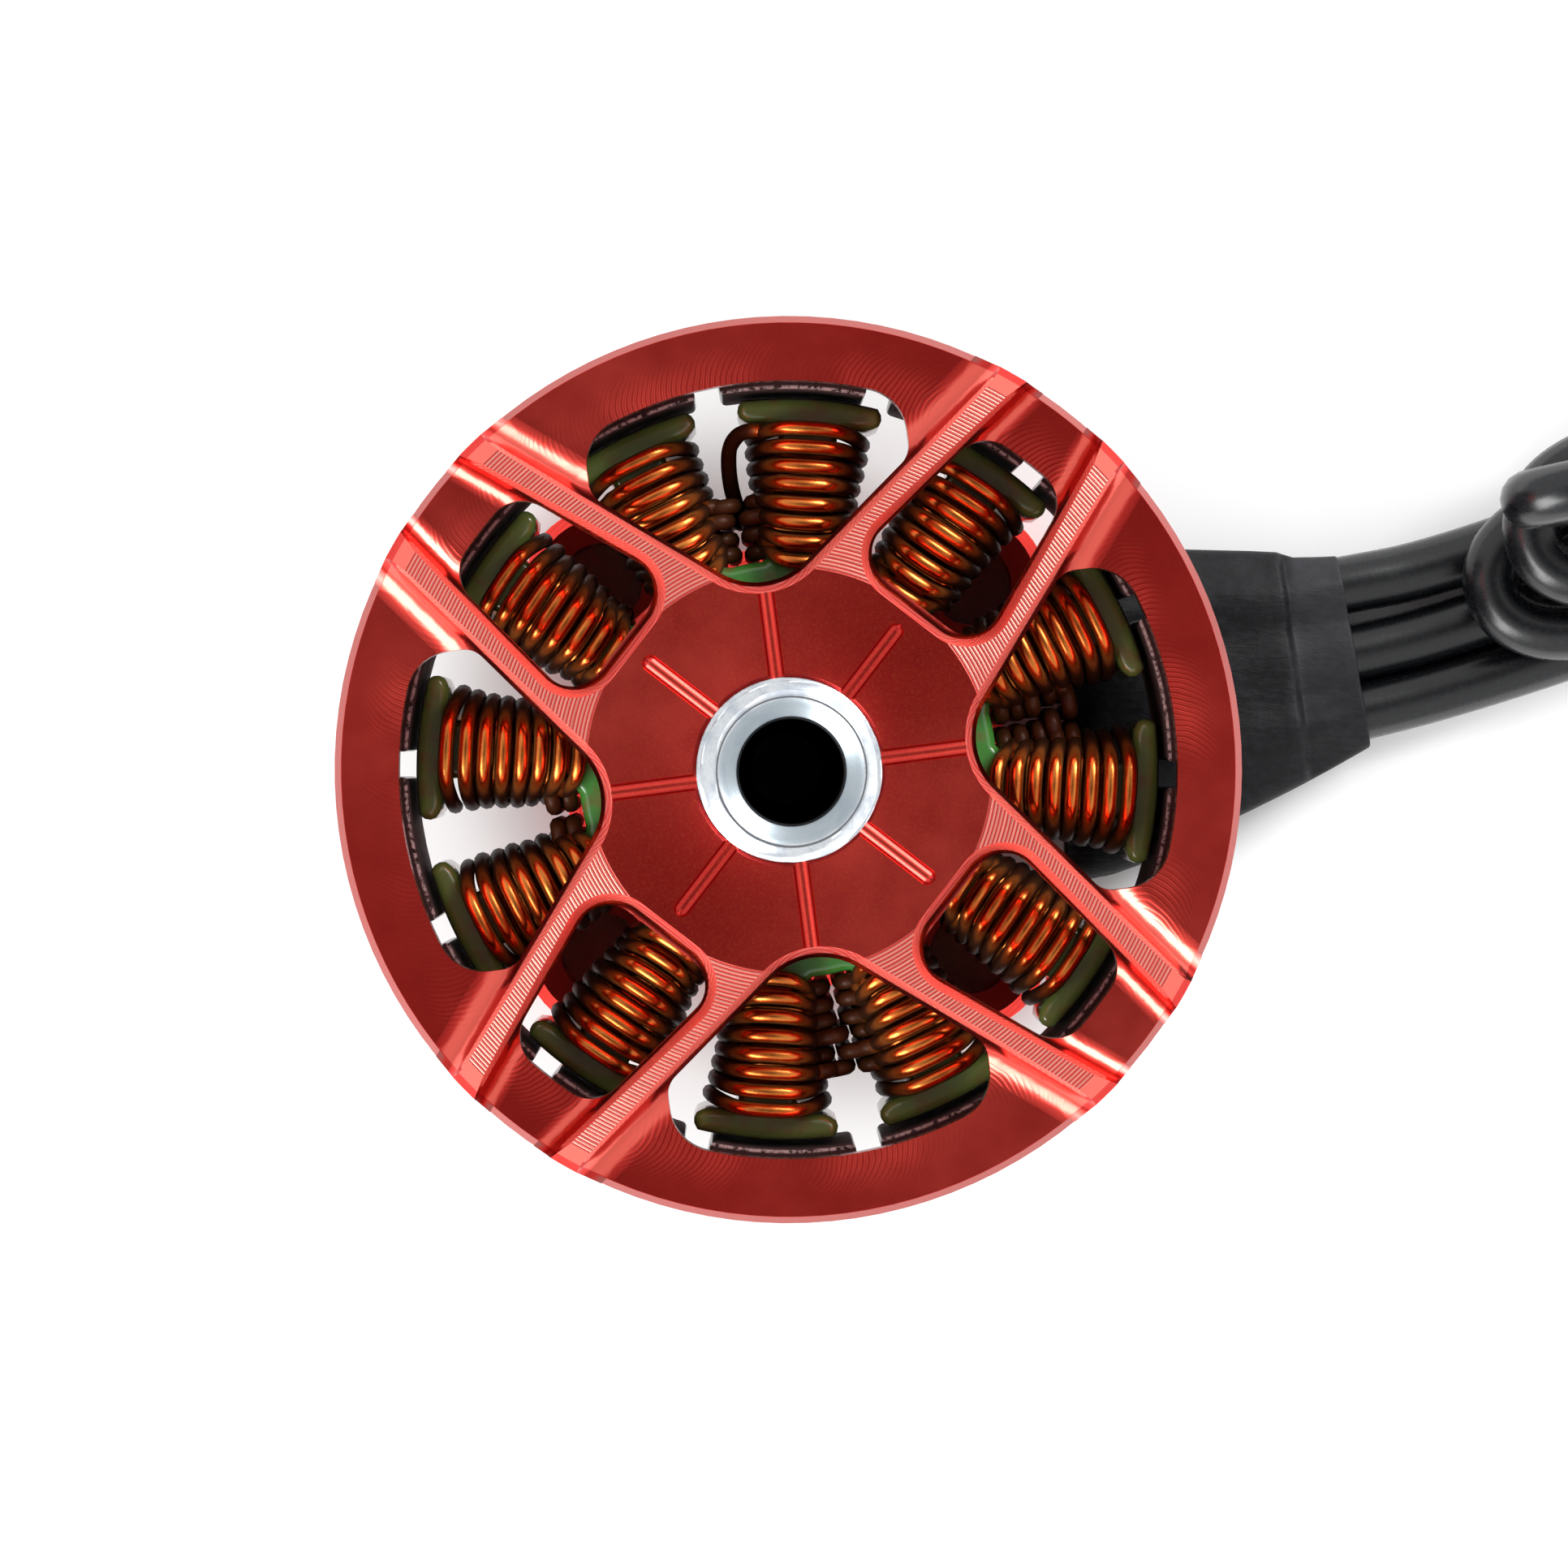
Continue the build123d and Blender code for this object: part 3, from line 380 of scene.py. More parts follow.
def copper_wire():
    n = Nodes("enamelled_copper")
    patch = n.noise(1.1, 3.0)
    streak = n.noise(6.0, 3.0, 0.6)
    tone = n.mix(n.step(patch, 0.3, 0.7), (0.68, 0.215, 0.042), (0.48, 0.105, 0.019))
    tone = n.mix(n.m("MULTIPLY", n.step(streak, 0.55, 0.8), 0.35), tone, (0.86, 0.36, 0.08))
    # painted shade: the strands' sides and undersides, and the coil ends towards the slots between the teeth, are
    # painted near black
    slot = n.step(n.m("COSINE", n.m("MULTIPLY_ADD", n.angle(), 12.0, -2.408)), 0.05, 0.62)
    painted_shade = n.m("MAXIMUM", n.step(n.nz, 0.78, 0.30), n.m("MULTIPLY", slot, 0.95))
    tone = n.mix(n.m("MULTIPLY", painted_shade, 0.95), tone, (0.010, 0.0035, 0.002))
    return n.set(
        color=tone, metallic=n.m("MULTIPLY_ADD", painted_shade, -0.85, 1.0), spec=0.25, rough=n.m("MULTIPLY_ADD", painted_shade, 0.28, n.m("MULTIPLY_ADD", streak, 0.08, 0.215)),
        normal=n.bump(streak, 0.008, 0.3), coat=0.08, coat_rough=0.10, coat_ior=1.5,
    )


def stator_coat():
    n = Nodes("stator_coat")
    r = n.radius()
    bare = n.m("MULTIPLY", n.step(r, 10.93, 10.97), n.m("MULTIPLY", n.step(n.z, 5.8, 5.85), n.step(n.z, 11.6, 11.55)))
    sheets = n.wave(n.z, 0.2)
    lump = n.noise(1.6, 2.0)
    # painted shade: the coat is painted olive towards the tooth tips near the bell's edge, and a brighter green further
    # in
    green = n.mix(n.step(r, 7.3, 10.6), (0.065, 0.300, 0.048), (0.150, 0.215, 0.052))
    green = n.mix(n.m("MULTIPLY", n.step(lump, 0.45, 0.7), 0.55), green, (0.200, 0.110, 0.045))
    steel_tone = n.mix(sheets, (0.16, 0.15, 0.14), (0.42, 0.41, 0.39))
    tone = n.mix(bare, green, steel_tone)
    height = n.m("ADD", n.m("MULTIPLY", lump, 1.0), n.m("MULTIPLY", n.m("MULTIPLY", sheets, bare), 0.6))
    return n.set(
        color=tone, metallic=n.m("MULTIPLY", bare, 0.9), rough=n.m("MULTIPLY_ADD", bare, 0.22, 0.20),
        normal=n.bump(height, 0.05, 0.6), coat=0.5, coat_rough=0.08,
    )


def silicone():
    n = Nodes("silicone_black")
    dust = n.noise(7.0, 5.0, 0.65)
    pit = n.noise(40.0, 2.0)
    tone = n.mix(n.m("MULTIPLY", n.step(dust, 0.45, 0.8), 0.7), (0.0025, 0.0028, 0.0038), (0.009, 0.012, 0.015))
    return n.set(
        color=tone, metallic=0.0, rough=n.m("MULTIPLY_ADD", dust, 0.14, 0.20), spec=0.5,
        normal=n.bump(n.m("ADD", n.m("MULTIPLY", pit, 0.3), dust), 0.008, 0.25), coat=0.15, coat_rough=0.3,
    )


def shrink():
    n = Nodes("heat_shrink")
    dust = n.noise(3.2, 5.0, 0.7)
    crease = n.noise(1.0, 4.0, 0.6, n.combine(n.m("MULTIPLY", n.x, 0.7), n.m("MULTIPLY", n.y, 2.6), n.z))
    pit = n.noise(30.0, 3.0, 0.6)
    tone = n.mix(n.step(dust, 0.35, 0.8), (0.0030, 0.0029, 0.0040), (0.012, 0.0115, 0.014))
    # painted sheen: the collar beyond the step is painted lighter, fading out towards low y
    collar = n.m("MULTIPLY", n.step(n.x, 15.35, 15.75), n.step(n.y, 0.6, 4.2))
    tone = n.mix(n.m("MULTIPLY", collar, n.m("MULTIPLY_ADD", dust, 0.6, 0.35)), tone, (0.040, 0.038, 0.044))
    height = n.m("ADD", n.m("MULTIPLY", crease, 1.6), n.m("MULTIPLY", pit, 0.22))
    return n.set(
        color=tone, metallic=0.0, rough=n.m("MULTIPLY_ADD", dust, 0.15, 0.44), spec=0.24,
        normal=n.bump(height, 0.05, 0.8),
    )


def magnet():
    n = Nodes("magnet_black")
    r = n.radius()
    speck = n.noise(8.0, 3.0)
    inner = n.step(r, 11.26, 11.20)
    tone = n.mix(speck, (0.016, 0.010, 0.010), (0.046, 0.026, 0.026))
    # plating worn bright on the inner top edge
    worn = n.m("MULTIPLY", n.m("MULTIPLY", n.step(r, 11.34, 11.28), n.step(r, 11.20, 11.24)), n.step(n.nz, 0.2, 0.6))
    tone = n.mix(n.m("MULTIPLY", worn, n.step(speck, 0.35, 0.6)), tone, (0.42, 0.36, 0.35))
    return n.set(
        color=tone, metallic=0.0, rough=n.m("ADD", n.m("MULTIPLY_ADD", speck, 0.1, 0.16), n.m("MULTIPLY", inner, 0.50)),
        normal=n.bump(speck, 0.010, 0.5), spec=0.35,
    )


def rubber(name, dark, light, rough):
    n = Nodes(name)
    dust = n.noise(4.0, 4.0, 0.6)
    pit = n.noise(24.0, 3.0)
    return n.set(
        color=n.mix(n.step(dust, 0.4, 0.8), dark, light), rough=n.m("MULTIPLY_ADD", dust, 0.15, rough),
        normal=n.bump(pit, 0.01, 0.6), spec=0.4,
    )


RED = red_anodised()
RED_BASE = base_anodised()
SHAFT = steel("shaft_steel", (0.72, 0.75, 0.79), 0.20, 0.10)
BEARING = steel("bearing_steel", (0.62, 0.63, 0.65), 0.14, 0.10)
BALL = steel("ball_steel", (0.78, 0.79, 0.81), 0.05, 0.05, turned=False)
SHIELD = steel("shield_steel", (0.55, 0.55, 0.54), 0.28, 0.15)
CAGE = steel("cage_steel", (0.60, 0.54, 0.42), 0.30, 0.12)
def flux():
    n = Nodes("flux_steel")
    r = n.radius()
    inside = n.step(r, 12.42, 12.36)
    speck = n.noise(9.0, 4.0, 0.6)
    ring = n.noise(1.0, 3.0, 0.5, n.combine(n.m("MULTIPLY", r, 22.0), n.m("MULTIPLY", n.z, 22.0), 0.0))
    tone = n.mix(n.m("MULTIPLY", n.step(speck, 0.35, 0.75), 0.6), (0.150, 0.150, 0.156), (0.090, 0.090, 0.095))
    tone = n.mix(inside, tone, (0.020, 0.019, 0.020))
    return n.set(
        color=tone, metallic=n.m("SUBTRACT", 1.0, inside), rough=n.m("ADD", n.m("MULTIPLY_ADD", speck, 0.16, 0.24), n.m("MULTIPLY", inside, 0.4)),
        normal=n.bump(n.m("ADD", ring, n.m("MULTIPLY", speck, 0.3)), 0.006, 0.6), spec=0.4,
    )


FLUX = flux()
WASHER = steel("washer_steel", (0.58, 0.59, 0.61), 0.22, 0.14)
CLIP = steel("clip_steel", (0.20, 0.20, 0.21), 0.32, 0.12)
TIN = steel("tin", (0.70, 0.70, 0.70), 0.24, 0.16, turned=False)
COPPER = copper_wire()
COAT = stator_coat()
SILICONE = silicone()
SHRINK = shrink()
MAGNET = magnet()
TIE = rubber("tie_rubber", (0.012, 0.012, 0.013), (0.030, 0.030, 0.031), 0.48)


def paint(obj, material):
    obj.data.materials.clear()
    obj.data.materials.append(material)
    return obj


def paint_node(node, material):
    me = NODES[node].data
    if len(me.materials) == 0:
        me.materials.append(material)
    for i in range(len(me.materials)):
        me.materials[i] = material


for node, material in (
    ("base", RED_BASE), ("bell", RED), ("flux_ring", FLUX), ("magnets_north", MAGNET), ("magnets_south", MAGNET),
    ("shim_washer", WASHER), ("spacer_washer", WASHER), ("retaining_clip", CLIP), ("tinned_tips", TIN),
    ("upper_bearing_outer_ring", BEARING), ("lower_bearing_outer_ring", BEARING),
    ("upper_bearing_inner_ring", BEARING), ("lower_bearing_inner_ring", BEARING),
    ("upper_bearing_shields", SHIELD), ("lower_bearing_shields", SHIELD),
    ("upper_bearing_cage", CAGE), ("lower_bearing_cage", CAGE),
    ("upper_bearing_balls", BALL), ("lower_bearing_balls", BALL),
    ("winding_tail_a", COPPER), ("winding_tail_b", COPPER), ("winding_tail_c", COPPER),
    ("stator_core", COAT), ("shaft", SHAFT), ("heat_shrink_sleeve", SHRINK), ("hank_tie", TIE),
    ("wire_hank", SILICONE), ("phase_wire_a", SILICONE), ("phase_wire_b", SILICONE), ("phase_wire_c", SILICONE),
    ("winding_phase_a", COPPER), ("winding_phase_b", COPPER), ("winding_phase_c", COPPER),
):
    paint_node(node, material)

# ------------------------------------------------------------------ leads
WIRE_D = 1.79
LEADS = {
    "a": [
        (11.20, 4.95, 1.35), (14.35, 5.10, 1.35), (17.40, 5.68, 1.27), (19.76, 6.11, 1.01), (25.43, 8.06, 0.95),
        (32.03, 10.42, 1.00), (37.20, 12.62, 1.45), (41.96, 14.17, 1.50), (46.54, 14.29, 1.00), (51.32, 14.16, 0.95),
        (55.49, 14.57, 0.95), (57.85, 15.08, 0.95), (60.22, 16.07, 0.95), (61.24, 17.57, 0.95), (61.45, 19.38, 0.95),
        (60.80, 21.08, 0.95), (59.43, 22.29, 0.95), (57.66, 22.72, 0.95), (55.46, 22.13, 0.95), (52.18, 20.91, 0.95),
        (47.65, 18.96, 0.95), (43.77, 17.02, 1.10), (40.70, 15.76, 1.45), (36.80, 14.49, 1.60), (31.47, 12.13, 2.20),
        (27.52, 10.06, 2.80), (25.20, 8.90, 2.85), (23.60, 8.02, 2.85), (22.10, 7.08, 2.85), (21.50, 6.00, 2.85),
        (21.80, 4.90, 2.85), (22.85, 4.22, 2.85), (24.30, 4.18, 2.85), (26.10, 4.65, 2.85), (29.23, 6.09, 2.90),
        (32.97, 7.52, 3.05), (38.21, 9.53, 3.32), (42.96, 11.08, 3.32), (47.53, 12.88, 2.90), (52.64, 14.96, 2.85),
        (56.36, 16.43, 2.85), (64.86, 19.60, 2.85),
    ],
    "b": [
        (11.20, 2.72, 1.35), (14.35, 2.95, 1.35), (17.40, 3.50, 1.27), (20.40, 4.22, 1.01), (26.02, 6.26, 0.95),
        (32.56, 8.80, 1.05), (37.79, 10.82, 1.50), (42.54, 12.36, 1.50), (47.15, 12.44, 1.00), (51.92, 12.31, 0.95),
        (55.91, 12.65, 0.95), (58.35, 13.22, 0.95), (61.01, 14.30, 0.95), (62.44, 15.82, 0.95), (63.24, 17.75, 0.95),
        (63.28, 19.84, 0.95), (62.56, 21.80, 0.95), (61.19, 23.37, 0.95), (59.34, 24.34, 0.95), (57.27, 24.58, 0.95),
        (54.68, 23.87, 0.95), (51.41, 22.60, 1.00), (47.08, 20.72, 1.60), (43.39, 18.16, 3.00), (40.69, 15.81, 3.40),
        (36.80, 14.49, 3.38), (31.40, 12.37, 3.90), (27.59, 11.13, 4.55), (26.00, 10.20, 4.68), (24.80, 9.65, 4.68),
        (23.30, 8.85, 4.65), (22.60, 7.75, 4.65), (22.75, 6.55, 4.65), (23.65, 5.82, 4.65), (25.00, 5.72, 4.62),
        (26.80, 6.20, 4.60), (29.18, 7.86, 4.30), (32.86, 9.48, 3.75), (37.62, 11.34, 3.38), (42.36, 12.93, 3.36),
        (46.91, 14.78, 2.95), (51.54, 16.70, 2.85), (55.25, 18.23, 2.85), (60.20, 19.99, 2.85),
    ],
    "c": [
        (11.20, 0.50, 1.35), (14.35, 1.00, 1.35), (17.40, 1.66, 1.27), (20.89, 2.55, 1.01), (26.61, 4.45, 0.95),
        (33.14, 6.99, 1.05), (38.38, 9.01, 1.50), (43.13, 10.55, 1.50), (47.73, 10.63, 1.00), (52.51, 10.50, 0.95),
        (56.30, 10.79, 0.95), (58.75, 11.35, 0.95), (61.67, 12.49, 0.95), (63.38, 13.95, 0.95), (64.59, 15.85, 0.95),
        (65.18, 18.02, 0.95), (65.10, 20.27, 0.95), (64.37, 22.40, 0.95), (63.04, 24.22, 0.95), (61.24, 25.57, 0.95),
        (59.12, 26.33, 0.95), (56.87, 26.43, 0.95), (53.90, 25.62, 0.95), (50.65, 24.30, 1.15), (46.62, 22.15, 2.60),
        (43.05, 19.20, 4.60), (40.67, 15.85, 5.30), (36.82, 14.44, 5.25), (31.52, 11.99, 5.75), (28.03, 9.80, 6.35),
        (26.20, 8.75, 6.48), (24.40, 8.36, 6.48), (23.20, 8.20, 6.55), (22.35, 8.10, 7.10), (22.30, 8.10, 8.55),
        (23.20, 8.30, 9.15), (24.60, 8.60, 9.20), (26.60, 9.10, 9.00), (28.09, 9.61, 8.60), (32.08, 10.27, 7.40),
        (35.37, 11.45, 5.85), (38.17, 12.57, 5.22), (42.03, 13.93, 5.15), (45.97, 16.05, 4.20), (49.11, 17.70, 3.10),
        (51.88, 19.00, 2.85),
    ],
}

for key, route in LEADS.items():
    curve = bpy.data.curves.new("lead_" + key, "CURVE")
    curve.dimensions = "3D"
    spline = curve.splines.new("NURBS")
    spline.points.add(len(route) - 1)
    for p, co in zip(spline.points, route):
        p.co = (co[0] * MM, co[1] * MM, co[2] * MM, 1.0)
    spline.order_u = 3
    spline.use_endpoint_u = True
    spline.resolution_u = 8
    curve.bevel_depth = WIRE_D / 2 * MM
    curve.bevel_resolution = 6
    curve.use_fill_caps = True
    lead = link(bpy.data.objects.new("lead_" + key, curve))
    paint(lead, SILICONE)
    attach(lead, "stator")
    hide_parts("phase_wire_" + key)
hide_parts("wire_hank")


# ------------------------------------------------------------------ tinned ends
def tip_mesh(end, prev):
    """Seven tinned strands twisted together, with a short tapered stub at their root."""
    e, q = np.array(end, float), np.array(prev, float)
    d = (e - q) / np.linalg.norm(e - q)
    side = np.cross(d, [0, 0, 1.0])
    side /= np.linalg.norm(side)
    up_v = np.cross(side, d)
    parts = []
    parts.append(tube([e - d * 0.3, e + d * 0.15], [0.46, 0.40], 18))
    for s in range(7):
        pts = []
        for i in range(16):
            t = i / 15
            if s == 0:
                off = np.zeros(3)
            else:
                a = 2 * math.pi * (s / 6 + 0.42 * t)
                off = 0.29 * (math.cos(a) * side + math.sin(a) * up_v)
            pts.append(e + d * (-0.1 + t * (2.95 + 0.05 * ((s * 37) % 5) / 5)) + off)
        parts.append(tube(pts, 0.165, 8))
    return join_parts(parts)


tips = [tip_mesh(LEADS[k][-1], LEADS[k][-2]) for k in "abc"]
v, f = join_parts(tips)
tinned = mesh_object("tinned_ends", v, f, sharp_deg=50)
paint(tinned, TIN)
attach(tinned, "stator")
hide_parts("tinned_tips")


# ------------------------------------------------------------------ tie
def hank_pt(u, v_):
    a = math.radians(18.0)
    return np.array([20.3 + u * math.cos(a) - v_ * math.sin(a), 4.45 + u * math.sin(a) + v_ * math.cos(a)])


def tie_mesh():
    hull = [(-1.25, 1.5), (4.45, 1.5), (4.5, 3.38), (4.4, 5.25), (2.2, 5.25), (-0.7, 3.38)]
    off = 0.9 + 0.05
    path = []
    n = len(hull)
    for i in range(n):
        p0, p1, p2 = (np.array(hull[(i + k - 1) % n], float) for k in range(3))
        d0, d1 = p1 - p0, p2 - p1
        a0, a1 = math.atan2(-d0[0], d0[1]), math.atan2(-d1[0], d1[1])
        while a1 < a0:
            a1 += 2 * math.pi
        for k in range(5):
            a = a0 + (a1 - a0) * k / 4
            path.append(p1 + off * np.array([math.cos(a), math.sin(a)]))
    rows = []
    m = len(path)
    for i in range(m):
        tangent = path[(i + 1) % m] - path[(i - 1) % m]
        tangent /= np.linalg.norm(tangent)
        out = np.array([tangent[1], -tangent[0]])
        row = []
        for du, dr in (
            (-0.85, 0.0), (-0.9, 0.12), (-0.86, 0.34), (-0.72, 0.42), (-0.3, 0.36), (0.3, 0.36), (0.72, 0.42),
            (0.86, 0.34), (0.9, 0.12), (0.85, 0.0), (0.3, 0.02), (-0.3, 0.02),
        ):
            q = path[i] + out * dr
            xy = hank_pt(21.1 + du, q[0])
            row.append((xy[0], xy[1], q[1]))
        rows.append(row)
    strap = rings(rows, 12, close_v=True)
    # the head that the strap's end passes through, with the cut end beyond it
    parts = [strap]

    def block(u0, u1, v0, v1, z0, z1, r):
        prof = []
        for cu, cv, s0 in ((u1 - r, v1 - r, 0), (u0 + r, v1 - r, 90), (u0 + r, v0 + r, 180), (u1 - r, v0 + r, 270)):
            for k in range(4):
                a = math.radians(s0 + 30 * k)
                prof.append((cu + r * math.cos(a), cv + r * math.sin(a)))
        cu, cv = (u0 + u1) / 2, (v0 + v1) / 2
        rws = []
        for zz, sc in ((z0, 0.86), (z0 + 0.12, 1.0), (z1 - 0.12, 1.0), (z1, 0.86)):
            rws.append([(*hank_pt(cu + (pu - cu) * sc, cv + (pv - cv) * sc), zz) for pu, pv in prof])
        vv, ff = rings(rws, 16)
        ff.append(tuple(range(16))[::-1])
        ff.append(tuple(3 * 16 + k for k in range(16)))
        return vv, ff

    parts.append(block(19.95, 22.25, -2.75, -1.75, 2.75, 5.05, 0.3))
    parts.append(block(20.4, 21.8, -2.58, -2.12, 5.0, 6.1, 0.12))
    return join_parts(parts)


v, f = tie_mesh()
tie = mesh_object("tie", v, f, sharp_deg=40)
paint(tie, TIE)
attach(tie, "stator")
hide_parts("hank_tie")


# ------------------------------------------------------------------ sleeve
def lerp_table(table, x):
    xs = [t[0] for t in table]
    ys = [t[1] for t in table]
    return float(np.interp(x, xs, ys))


def sleeve_mesh():
    """Shrunk over three leads: three soft ridges on top, a step to a narrower collar, a slanted cut end."""
    low_side = [(8.6, -3.30), (9.3, -3.42), (10.0, -3.30), (11.0, -2.95), (12.0, -2.45), (14.17, -1.34), (15.5, -0.66), (16.8, 0.01), (17.82, 0.54), (18.2, 0.74)]
    high_side = [(8.6, 4.75), (9.6, 5.85), (10.6, 6.55), (12.0, 6.75), (14.2, 6.70), (15.1, 6.66), (15.6, 6.50), (16.6, 6.52), (17.2, 6.56)]
    lead_y = {
        "a": [(8.6, 3.6), (9.9, 4.75), (14.35, 5.12), (17.4, 5.66), (18.3, 5.86)],
        "b": [(8.6, 1.2), (9.9, 2.30), (14.35, 3.04), (17.4, 3.52), (18.3, 3.72)],
        "c": [(8.6, -1.6), (9.9, -0.40), (14.35, 1.02), (17.4, 1.66), (18.3, 1.88)],
    }
    sides, rows = 96, []
    stations = [8.6, 8.7, 8.85] + [8.85 + (15.35 - 8.85) * i / 26 for i in range(1, 27)]
    stations += [15.45, 15.52, 15.58, 15.64, 15.72] + [15.72 + (17.35 - 15.72) * i / 10 for i in range(1, 11)]
    stations += [17.40]

    def section(xc, inset):
        full = smooth01((xc - 12.5) / 4.5)
        lo_y, hi_y = lerp_table(low_side, xc + 0.6 * full) + inset, lerp_table(high_side, xc - 0.5 * full) - inset
        collar = smooth01((xc - 15.40) / 0.28)
        mid, half = (lo_y + hi_y) / 2, (hi_y - lo_y) / 2
        centres = [lerp_table(lead_y[k], xc) for k in "abc"]
        pts = []
        crown = 2.62 - 0.24 * collar - inset - 0.3 * smooth01((9.6 - xc) / 1.0)
        for i in range(sides):
            a = 2 * math.pi * i / sides
            ca, sa = math.cos(a), math.sin(a)
            y = mid + half * math.copysign(abs(ca) ** 0.55, ca)
            if sa >= 0:
                rise = abs(sa) ** 0.5
                ridge = max(math.exp(-(((y - c) / 0.78) ** 2)) for c in centres)
                top = crown - (0.30 + 0.22 * collar) * (1 - ridge)
                z = 1.25 + (top - 1.25) * rise
            else:
                z = 1.25 - (1.25 - 0.08 - inset) * abs(sa) ** 0.42
            # the end is cut at a slant: further out at low y
            slant = (3.8 - y) * 0.178 * smooth01((xc - 12.5) / 4.5)
            fold = 0.05 * math.sin(1.9 * xc + 2.3 * y) * math.sin(0.9 * xc - 1.1 * y + 1.0)
            z += fold * (0.7 if sa > 0.15 else 0.0)
            pts.append((xc + slant, y, max(z, 0.07)))
        return pts

    for xc in stations:
        rows.append(section(xc, 0.0))
    # rolled lip at the cut end, then back inside
    rows.append(section(17.45, 0.05))
    rows.append(section(17.46, 0.20))
    rows.append(section(17.35, 0.30))
    rows.append(section(16.6, 0.34))
    rows.append(section(15.9, 0.34))
    vv, ff = rings(rows, sides)
    ff.append(tuple(range(sides))[::-1])
    last = (len(rows) - 1) * sides
    ff.append(tuple(last + k for k in range(sides)))
    return vv, ff


v, f = sleeve_mesh()
sleeve = mesh_object("heat_shrink", v, f)
paint(sleeve, SHRINK)
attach(sleeve, "stator")
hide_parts("heat_shrink_sleeve")


# ------------------------------------------------------------------ shaft with its thread
def shaft_mesh():
    pitch, depth = 0.8, 0.46
    sides = 120
    rows = []

    def ring(z, r):
        rows.append([(r * math.cos(2 * math.pi * k / sides), r * math.sin(2 * math.pi * k / sides), z) for k in range(sides)])

    def thread(z):
        amp = smooth01((z - 18.05) / 0.7)
        cap = 2.5 if z < 30.15 else 2.5 - (z - 30.15) * (0.4 / 0.45)
        row = []
        for k in range(sides):
            a = 2 * math.pi * k / sides
            t = ((z / pitch) - k / sides) % 1.0
            tri = abs(t - 0.5) * 2  # 1 at the crest, 0 at the root
            prof = min(1.0, max(0.0, (tri - 0.16) / 0.70))
            prof = prof * prof * (3 - 2 * prof) * 0.35 + prof * 0.65
            r = min(2.5 - depth * amp * (1 - prof), cap)
            row.append((r * math.cos(a), r * math.sin(a), z))
        rows.append(row)

    for z, r in (
        (0.36, 1.12), (0.35, 1.18), (0.35, 1.74), (0.40, 1.84), (0.45, 1.85), (0.451, 1.71), (0.47, 1.70), (0.78, 1.70),
        (0.80, 1.71), (0.801, 1.94), (0.86, 2.0), (7.0, 2.0), (13.46, 2.0), (13.5, 2.02), (13.501, 2.62), (13.58, 2.7),
        (17.46, 2.7), (17.54, 2.68), (17.585, 2.62), (17.60, 2.54), (17.61, 2.50), (17.9, 2.50), (18.04, 2.50),
    ):
        ring(z, r)
    count = int((30.56 - 18.06) / 0.0625)
    for i in range(count + 1):
        thread(18.06 + (30.56 - 18.06) * i / count)
    for z, r in (
        (30.595, 2.10), (30.60, 2.07), (30.60, 2.03), (30.585, 1.985), (30.45, 1.89), (30.15, 1.67), (29.90, 1.485),
        (29.85, 1.455), (29.80, 1.45), (22.0, 1.45), (14.72, 1.45), (14.68, 1.43), (14.1, 1.10), (13.9, 1.10), (7.0, 1.10), (0.44, 1.10),
    ):
        ring(z, r)
    return rings(rows, sides, close_v=True)


v, f = shaft_mesh()
shaft = mesh_object("threaded_shaft", v, f, sharp_deg=38)


def shaft_material():
    n = Nodes("threaded_steel")
    r = n.radius()
    inside = n.m("MULTIPLY", n.step(r, 1.50, 1.46), n.step(n.z, 30.2, 29.7))
    turned = n.noise(1.0, 3.0, 0.5, n.combine(n.m("MULTIPLY", r, 20.0), n.m("MULTIPLY", n.z, 6.0), 0.0))
    cloud = n.noise(1.6, 4.0, 0.65)
    speck = n.noise(16.0, 4.0, 0.6)
    tone = n.mix(n.step(cloud, 0.35, 0.7), (0.74, 0.77, 0.80), (0.50, 0.54, 0.60))
    tone = n.mix(n.m("MULTIPLY", n.step(speck, 0.58, 0.8), 0.5), tone, (0.32, 0.35, 0.40))
    # painted shade: the shaft's bore is painted near black
    tone = n.mix(inside, tone, (0.035, 0.032, 0.034))
    height = n.m("ADD", turned, n.m("MULTIPLY", speck, 0.5))
    # painted shade: the countersink cone, 1.54 to 1.96 mm from the axis, is painted a darker, bluer steel
    cone = n.m("MULTIPLY", n.step(r, 2.02, 1.96), n.step(r, 1.50, 1.54))
    tone = n.mix(n.m("MULTIPLY", cone, 0.75), tone, (0.34, 0.40, 0.44))
    geo = n.t.nodes.new("ShaderNodeNewGeometry")
    tilt = n.t.nodes.new("ShaderNodeVectorMath")
    tilt.operation = "ADD"
    n.t.links.new(geo.outputs["Normal"], tilt.inputs[0])
    n.t.links.new(n.combine(0.0, 0.0, n.m("MULTIPLY", cone, 0.62)), tilt.inputs[1])
    unit = n.t.nodes.new("ShaderNodeVectorMath")
    unit.operation = "NORMALIZE"
    n.t.links.new(tilt.outputs[0], unit.inputs[0])
    return n.set(
        color=tone, metallic=1.0, rough=n.m("ADD", n.m("MULTIPLY_ADD", cloud, 0.16, 0.14), n.m("ADD", n.m("MULTIPLY", inside, 0.25), n.m("MULTIPLY", cone, 0.12))),
        normal=n.bump(height, 0.010, 0.55, unit.outputs[0]),
    )


paint(shaft, shaft_material())
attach(shaft, "rotor")
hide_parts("shaft")


# ------------------------------------------------------------------ stator core
TOOTH_0 = 26.5


